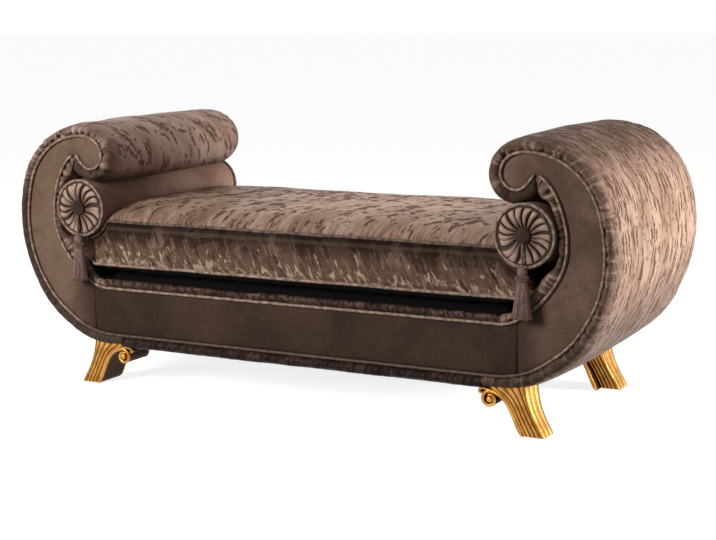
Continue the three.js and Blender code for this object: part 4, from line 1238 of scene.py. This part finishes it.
def rosette(name, s, f):
    """Petals of folded cloth round the button, each with its own lean, width and length."""
    steps = PETALS * PETAL_STEPS
    seed = 3 * s + 7 * f
    a = around(steps)[None, :, None]
    r = np.concatenate([np.linspace(RIM, 73.2, 4), np.linspace(72.2, 14, 42)])[:, None, None]
    k = np.arange(PETALS)[None, None, :]
    lean = 0.11 + 0.06 * ripple(k * 2.3, seed, 1)
    at = (k + 0.22 * ripple(k * 1.7, seed, 4)) / PETALS * 2 * math.pi
    half = math.pi / PETALS * (0.88 + 0.10 * ripple(k * 3.1, seed, 8))
    far = (69.2 + 3.0 * ripple(k * 2.9, seed, 12))[0, 0]
    tall = (0.92 + 0.25 * ripple(k * 1.3, seed, 16))[0, 0]
    mid = at + lean * np.sin((r - 16) / 52 * math.pi)
    off = abs((a - mid + math.pi) % (2 * math.pi) - math.pi) / half
    best, q = off.argmin(axis=2), off.min(axis=2)
    r, a = r[..., 0], a[..., 0]
    side = np.sqrt(np.maximum(0.0, 1 - np.minimum(1.0, q) ** 2.2))
    tip = np.sqrt(np.maximum(0.0, 1 - smooth((r - far[best] + 9) / 9) ** 2))
    neck = smooth((r - 10) / 16)
    petal = side * tip
    dome = 4.0 + 8.8 * np.sin(math.pi * np.clip((r - 6) / 70.0, 0, 1)) ** 0.7
    rough = ripple(np.cos(a) * r / 5 + 40, np.sin(a) * r / 5, seed)
    height = (dome - 1.2) * (0.14 + 0.86 * petal * tall[best] * (0.35 + 0.65 * neck))
    height = np.clip(1.2 + height + 0.7 * rough * petal, 0.8, ROSETTE_ROOM)
    height = np.where(r > 72.7, 1.0, height)
    x, z = s * AXIS_X + r * np.cos(a), AXIS_Z + r * np.sin(a)
    rings = joined(x, -(ROSETTE_SEAT + height) * f, z)
    back = joined(x[:1], -ROSETTE_SEAT * f, z[:1])
    cloth = joined(a * r, r, petal * 10 * (0.4 + 0.6 * neck))
    return loft(name, np.concatenate([back, rings]), np.concatenate([cloth[:1], cloth]))


def bolster_end(name, key, s, f):
    piece = rosette("pleats_" + key, s, f)
    give(piece, pleats)
    body(piece, name, "rosette_velvet", "rosette_" + key, fill=0.6)
    rim = [(s * AXIS_X + RIM_CORD * math.cos(a), -RIM_SEAT * f, AXIS_Z + RIM_CORD * math.sin(a))
           for a in around(RIM_STEPS)]
    piece = tube("rim_cord_" + key, rim, CORD, closed=True, uneven=0.12)
    give(piece, cord_cloth)
    body(piece, name, "piping")
    profile = [(max(0.01, r), -(KNOB_SEAT + d) * f) for r, d in spaced(spline(KNOB, 6), 1.6)]
    piece = turned("knob_" + key, profile, s * AXIS_X, KNOB_SIDES, knob_wobble)
    give(piece, knob_cloth)
    body(piece, name, "rosette_velvet", "button_" + key, fill=0.8)


for side, s in SIDES:
    name = "bolster_" + side
    piece = turned("barrel_" + side, BARREL, s * AXIS_X, BARREL_SIDES, barrel_wobble)
    give(piece, barrel_velvet)
    a = around(BARREL_SIDES)
    against_arm = smooth((np.cos(a) * s + 0.05) / 0.3)
    under_roll = smooth((np.sin(a) - 0.80) / 0.15)
    float_layer(piece, "shade", np.tile(0.5 * np.maximum(against_arm, under_roll), len(BARREL)))
    body(piece, name, "velvet", name, fill=0.9)
    for face, f in FACES:
        bolster_end(name, side + "_" + face, s, f)


# Tassels

YARN = {"cord": 1.7, "head": 1.5, "ruff": 1.35, "skirt": 1.25}


def strands(name, lines):
    """Yarns as one mesh, each a round line with a thickness of its own, in millimetres."""
    curve = bpy.data.curves.new(name, "CURVE")
    curve.dimensions = "3D"
    curve.bevel_depth = 0.001
    curve.bevel_resolution = 1
    curve.use_fill_caps = True
    for points, thick in lines:
        p = (np.array(points) + (0, Y_SHIFT, 0)) / 1000
        line = curve.splines.new("POLY")
        line.points.add(len(p) - 1)
        line.points.foreach_set("co", np.hstack([p, np.ones((len(p), 1))]).ravel())
        line.points.foreach_set("radius", [thick] * len(p))
    drawn = show(name + "_lines", curve)
    mesh = bpy.data.meshes.new_from_object(drawn.evaluated_get(bpy.context.evaluated_depsgraph_get()))
    bpy.data.objects.remove(drawn)
    mesh.name = name
    bm = bmesh.new()
    bm.from_mesh(mesh)
    bmesh.ops.remove_doubles(bm, verts=bm.verts, dist=1e-7)
    bmesh.ops.recalc_face_normals(bm, faces=bm.faces)
    bm.to_mesh(mesh)
    bm.free()
    soften(mesh)
    return show(name, mesh)


# Distances in front of the bolster's end and below its axis
TASSEL_OUT = 16.6
TASSEL_FLAT = 0.68
CORD_FROM, CORD_TO = 17.5, 76
HEAD_FROM, HEAD_TO = 75, 96
RUFF = ((94, 16.5, 13), (98, 14.0, 15))
SKIRT_FROM, SKIRT_TO = 108, 198
SKIRT_RINGS = ((1.0, 58), (0.78, 40), (0.5, 22))
LOOPS = 20


def tassel(side, s):
    cx, cy = s * AXIS_X, -(BOLSTER_HALF + TASSEL_OUT)
    lines = []

    def draw(x, y, z, kind):
        lines.append((joined(cx + x, cy + y, AXIS_Z - z), YARN[kind]))

    # Three twisted cords from the button down to the head
    t = np.linspace(0, 1, 40)
    for turn in around(3):
        a = t * 9 * math.pi + turn
        draw(1.6 * np.cos(a), 1.2 * np.sin(a), lerp(CORD_FROM, CORD_TO, t), "cord")
    # Head: wound yarn
    a = np.linspace(0, 2 * math.pi, 20)
    for t in np.linspace(0, 1, 13):
        r = 6.0 + 6.5 * math.sin(math.pi * (0.15 + 0.75 * t))
        draw(r * np.cos(a), r * TASSEL_FLAT * np.sin(a), lerp(HEAD_FROM, HEAD_TO, t), "head")
    # Ruff of loops
    t = np.linspace(0, 1, 9)
    for row, (top, reach, drop) in enumerate(RUFF):
        for k in range(LOOPS):
            a = 2 * math.pi * (k + 0.5 * row) / LOOPS
            r = 7 + (reach - 7) * np.maximum(0, np.sin(math.pi * t)) ** 0.8
            lean = (t - 0.5) * 3.0
            x = r * math.cos(a) - lean * math.sin(a)
            y = TASSEL_FLAT * (r * math.sin(a) + lean * math.cos(a))
            draw(x, y, top + drop * t - 3 * np.sin(math.pi * t), "ruff")
    # Skirt
    for ring, count in SKIRT_RINGS:
        for k in range(count):
            a = 2 * math.pi * (k + rng.random() * 0.5) / count
            sway = rng.normal(0, 1.0)
            low = SKIRT_TO - abs(rng.normal(0, 1.6))
            r = ring * lerp(12.5, 24.6, t ** 1.1) + sway * 0.5 * t
            turn = a + 0.05 * np.sin(3 * t + k)
            draw(r * np.cos(turn), TASSEL_FLAT * r * np.sin(turn), lerp(SKIRT_FROM, low, t), "skirt")
    piece = strands("yarn_" + side, lines)
    give(piece, tassel_yarn)
    body(piece, "tassel_" + side, "tassel_yarn", "tassel_" + side)


for side, s in SIDES:
    tassel(side, s)


# Legs: a ribbed shank that sweeps out to the foot, and a rib that runs over the crest into a volute

LEG_INNER = [(545, 118), (556, 108), (572, 101), (588, 92), (602, 76), (614, 54), (626, 28), (636, 8),
             (642, 1)]
LEG_OUTER = [(650, 140), (649, 122), (652, 104), (657, 84), (665, 62), (677, 38), (690, 16), (698, 1)]
LEG_ROWS = 64
LEG_FACE = FRONT - 8
LEG_DEEP_TOP, LEG_DEEP_FOOT = 88, 68
RIBS, SIDE_RIBS = 5, 3
RIB_DEEP, SIDE_RIB_DEEP = 4.8, 2.6
EDGE_ROUND, SIDE_EDGE_ROUND = 4.2, 3.5
RIB_STEPS, SIDE_RIB_STEPS = 60, 36
VOLUTE = (553, 84)
VOLUTE_DEEP = 97
VOLUTE_START, VOLUTE_TURN = 84, 395
BEAD = 2.6
EYE = [(0.1, -1.6), (4, -1.2), (7.2, 0.6), (9, 3.6), (9.5, 8), (9.5, 88), (9, 92), (7.2, 95.6), (4, 97.2),
       (0.1, 97.6)]
CORE = [(0.1, 9), (17.5, 9), (18, 10), (18, 86), (17.5, 87), (0.1, 87)]


def rib(u, count):
    return abs(np.sin(math.pi * u * count)) ** 0.6


def in_rows(line):
    """The line with one point for each row of the leg."""
    line = spaced(spline(line, 10), 2.0)
    at, own = np.linspace(0, 1, LEG_ROWS), np.linspace(0, 1, len(line))
    return np.stack([np.interp(at, own, line[:, k]) for k in (0, 1)], 1)


def shank(name, s, f):
    u1, u2 = np.arange(RIB_STEPS) / RIB_STEPS, np.arange(SIDE_RIB_STEPS) / SIDE_RIB_STEPS
    dent = SIDE_RIB_DEEP * (1 - rib(u2, SIDE_RIBS)) + SIDE_EDGE_ROUND * abs(2 * u2 - 1) ** 6
    rings = []
    for t, a, b in zip(np.linspace(0, 1, LEG_ROWS), in_rows(LEG_INNER), in_rows(LEG_OUTER)):
        deep = lerp(LEG_DEEP_TOP, LEG_DEEP_FOOT, smooth(t * 1.15))
        relief = RIB_DEEP * (0.55 + 0.45 * smooth(t * 2.5))
        across = (b - a) / np.linalg.norm(b - a)
        sink = relief * (1 - rib(u1, RIBS)) + EDGE_ROUND * abs(2 * u1 - 1) ** 6
        ring = [(p[0], k, p[1]) for p, k in zip(a + (b - a) * u1[:, None], sink)]
        ring += [(p[0], deep * u, p[1]) for p, u in zip(b - across * dent[:, None], u2)]
        ring += [(p[0], deep - k, p[1]) for p, k in zip(b + (a - b) * u1[:, None], sink)]
        ring += [(p[0], deep * (1 - u), p[1]) for p, u in zip(a + across * dent[:, None], u2)]
        rings.append(ring)
    rings = np.array(rings)
    # The foot's lower edge is rounded
    tuck = 1 - 0.05 * np.clip((6 - rings[..., 2]) / 6, 0, 1) ** 2
    centre = rings.mean(axis=1, keepdims=True)
    rings[..., :2] = centre[..., :2] + (rings[..., :2] - centre[..., :2]) * tuck[..., None]
    rings[..., 2] = np.maximum(rings[..., 2], 0.0)
    rings[..., 1] -= LEG_FACE
    piece = loft(name, rings * (s, f, 1))
    # Grooves darkened by the gilding: patina and painted shade
    dark = np.concatenate([1 - rib(u1, RIBS), 0.8 * (1 - rib(u2, SIDE_RIBS))])
    float_layer(piece, "groove", np.tile(dark, 2 * LEG_ROWS), 0.5)
    return piece


def ribbon(name, line, thick, inset, s, f):
    """A carved band through the leg's depth: beaded at both faces, smooth between and darkened there as
    painted shade.
    """
    line = spaced(line, 2.0)
    t = np.linspace(0, 1, len(line))
    half = lerp(thick[0], thick[1], t) * np.minimum(1.0, 0.3 + np.arange(len(line)) / 10)
    back = inset * smooth((t - 0.35) / 0.6)
    bead = np.linspace(0, math.pi, 13)
    flat = np.linspace(0, 1, 14)[1:-1]
    front = [(math.cos(a), 0.0, BEAD * math.sin(a), 0.0) for a in bead]
    low = [(-0.74, u, 0.0, 1.0) for u in flat]
    rear = [(-math.cos(a), 1.0, -BEAD * math.sin(a), 0.0) for a in bead]
    up = [(0.74, 1 - u, 0.0, 1.0) for u in flat]
    c, u, bulge, dark = np.array(front + low + rear + up).T
    xz = line[:, None, :] + to_right(headings(line))[:, None, :] * (half[:, None] * c[None, :])[..., None]
    y = back[:, None] + u[None, :] * (VOLUTE_DEEP - 2 * back[:, None]) - bulge[None, :] - LEG_FACE
    piece = loft(name, joined(xz[..., 0], y, np.maximum(xz[..., 1], 0.0)) * (s, f, 1))
    float_layer(piece, "groove", np.broadcast_to(dark, y.shape), 0.5)
    return piece


def boss(name, profile, dark, s, f):
    """A round piece through the volute, from radii and depths."""
    a = around(32)[None, :]
    r, y = np.array(profile, float).T[:, :, None]
    x, z = VOLUTE[0] + r * np.cos(a), VOLUTE[1] + r * np.sin(a)
    piece = loft(name, joined(x, y - LEG_FACE, z) * (s, f, 1))
    float_layer(piece, "groove", [], dark)
    return piece


turns = np.linspace(0, 1, 60)
angle = np.radians(VOLUTE_START + VOLUTE_TURN * turns)
radius = 21.5 - 11.5 * turns ** 0.9
curl = joined(VOLUTE[0] + radius * np.cos(angle), VOLUTE[1] + radius * np.sin(angle))
rib_line = np.vstack([spline([*LEG_INNER[:1:-1], tuple(curl[0])], 10)[:-1], curl])
leaf_line = spline([(556, 110), (547, 110), (538, 112), (529, 109), (524, 102), (528, 97), (533, 99)], 8)
for key, s, f in CORNERS:
    piece = shank("shank_" + key, s, f)
    body(piece, "frame", "gilding", "leg_" + key)
    # The volute's core is darkened as painted shade; its eye is not
    carved = [ribbon("volute_" + key, rib_line, (5.2, 3.4), 5.0, s, f),
              ribbon("leaf_" + key, leaf_line, (4.0, 2.6), 8.0, s, f),
              boss("eye_" + key, EYE, 0.0, s, f), boss("core_" + key, CORE, 0.9, s, f)]
    for part in carved:
        body(part, "frame", "gilding")
    for part in (piece, *carved):
        give(part, gilt)


# Timber, webbing, lining and bolts that are carried over

CARRIED = {"seat_webbing": web, "dust_cover": lining}
for name in ("front_rail", "back_rail", "cross_rail_centre", "cross_rail_left", "cross_rail_right"):
    CARRIED[name] = beech
for side, _ in SIDES:
    CARRIED["outer_panel_" + side] = ply
    CARRIED["inner_panel_" + side] = ply
for key, _, _ in CORNERS:
    CARRIED["scroll_profile_" + key] = ply
    CARRIED["corner_block_" + key] = beech
    CARRIED["leg_bolt_" + key] = zinc
for name, material in CARRIED.items():
    give(frame["nodes"][name], material)


# Floor, light and background: white to the camera and in reflections, soft and plain for the object

def lamp(name, place, target, size, power, colour, spread=180):
    data = bpy.data.lights.new(name, "AREA")
    data.shape = "RECTANGLE"
    data.size, data.size_y = size
    data.energy = power
    data.color = colour
    data.spread = math.radians(spread)
    obj = show(name, data)
    obj.location = place
    obj.rotation_euler = (Vector(target) - Vector(place)).to_track_quat("-Z", "Y").to_euler()


lamp("overhead", (0.14, 0.02, 1.25), (0.14, 0.0, 0.5), (0.7, 0.4), 1.0, (1.0, 0.975, 0.945), 70)
lamp("side", (3.3, 0.9, 0.62), (0.85, 0.0, 0.45), (1.0, 1.0), 104, (1.0, 0.97, 0.935))
lamp("front", (-1.5, -3.3, 1.8), (0, 0, 0.4), (1.4, 1.4), 106, (1.0, 0.975, 0.94))


def seen(s):
    """1 for rays from the camera, and for reflections and what is seen through glass."""
    rays = s.add("ShaderNodeLightPath").outputs
    return s.most([rays["Is Camera Ray"], rays["Is Glossy Ray"], rays["Is Transmission Ray"]])


WHITE = (1, 1, 1)
studio = bpy.data.worlds.new("studio")
bpy.context.scene.world = studio
sky = Nodes(studio)
_, _, upward = sky.xyz(sky.add("ShaderNodeTexCoord").outputs["Generated"])
soft = sky.fill(sky.add("ShaderNodeBackground"), WHITE, sky.step(upward, -0.5, 0.9, 0.05, 0.18))
white = sky.fill(sky.add("ShaderNodeBackground"), WHITE)
sky.end("ShaderNodeOutputWorld", sky.fill(sky.add("ShaderNodeMixShader"), seen(sky), soft, white))

FLOOR_HALF = 40.0
FLOOR_GLOW = 0.82
FLOOR_LIT, FLOOR_SEEN = (0.16, 0.16, 0.16), (0.85, 0.85, 0.85)
bm = bmesh.new()
bmesh.ops.create_grid(bm, x_segments=1, y_segments=1, size=FLOOR_HALF)
floor_mesh = bpy.data.meshes.new("floor")
bm.to_mesh(floor_mesh)
bm.free()
floor = show("floor", floor_mesh)
paint = bpy.data.materials.new("floor")
pale = Nodes(paint)
dull = pale.fill(pale.add("ShaderNodeBsdfDiffuse"), pale.mix(seen(pale), FLOOR_LIT, FLOOR_SEEN))
glow = pale.fill(pale.add("ShaderNodeEmission"), Strength=pale.product(seen(pale), FLOOR_GLOW))
pale.end("ShaderNodeOutputMaterial", pale.fill(pale.add("ShaderNodeAddShader"), dull, glow))
paint.cycles.emission_sampling = "NONE"
give(floor, paint)
bpy.context.scene.view_settings.view_transform = "Standard"
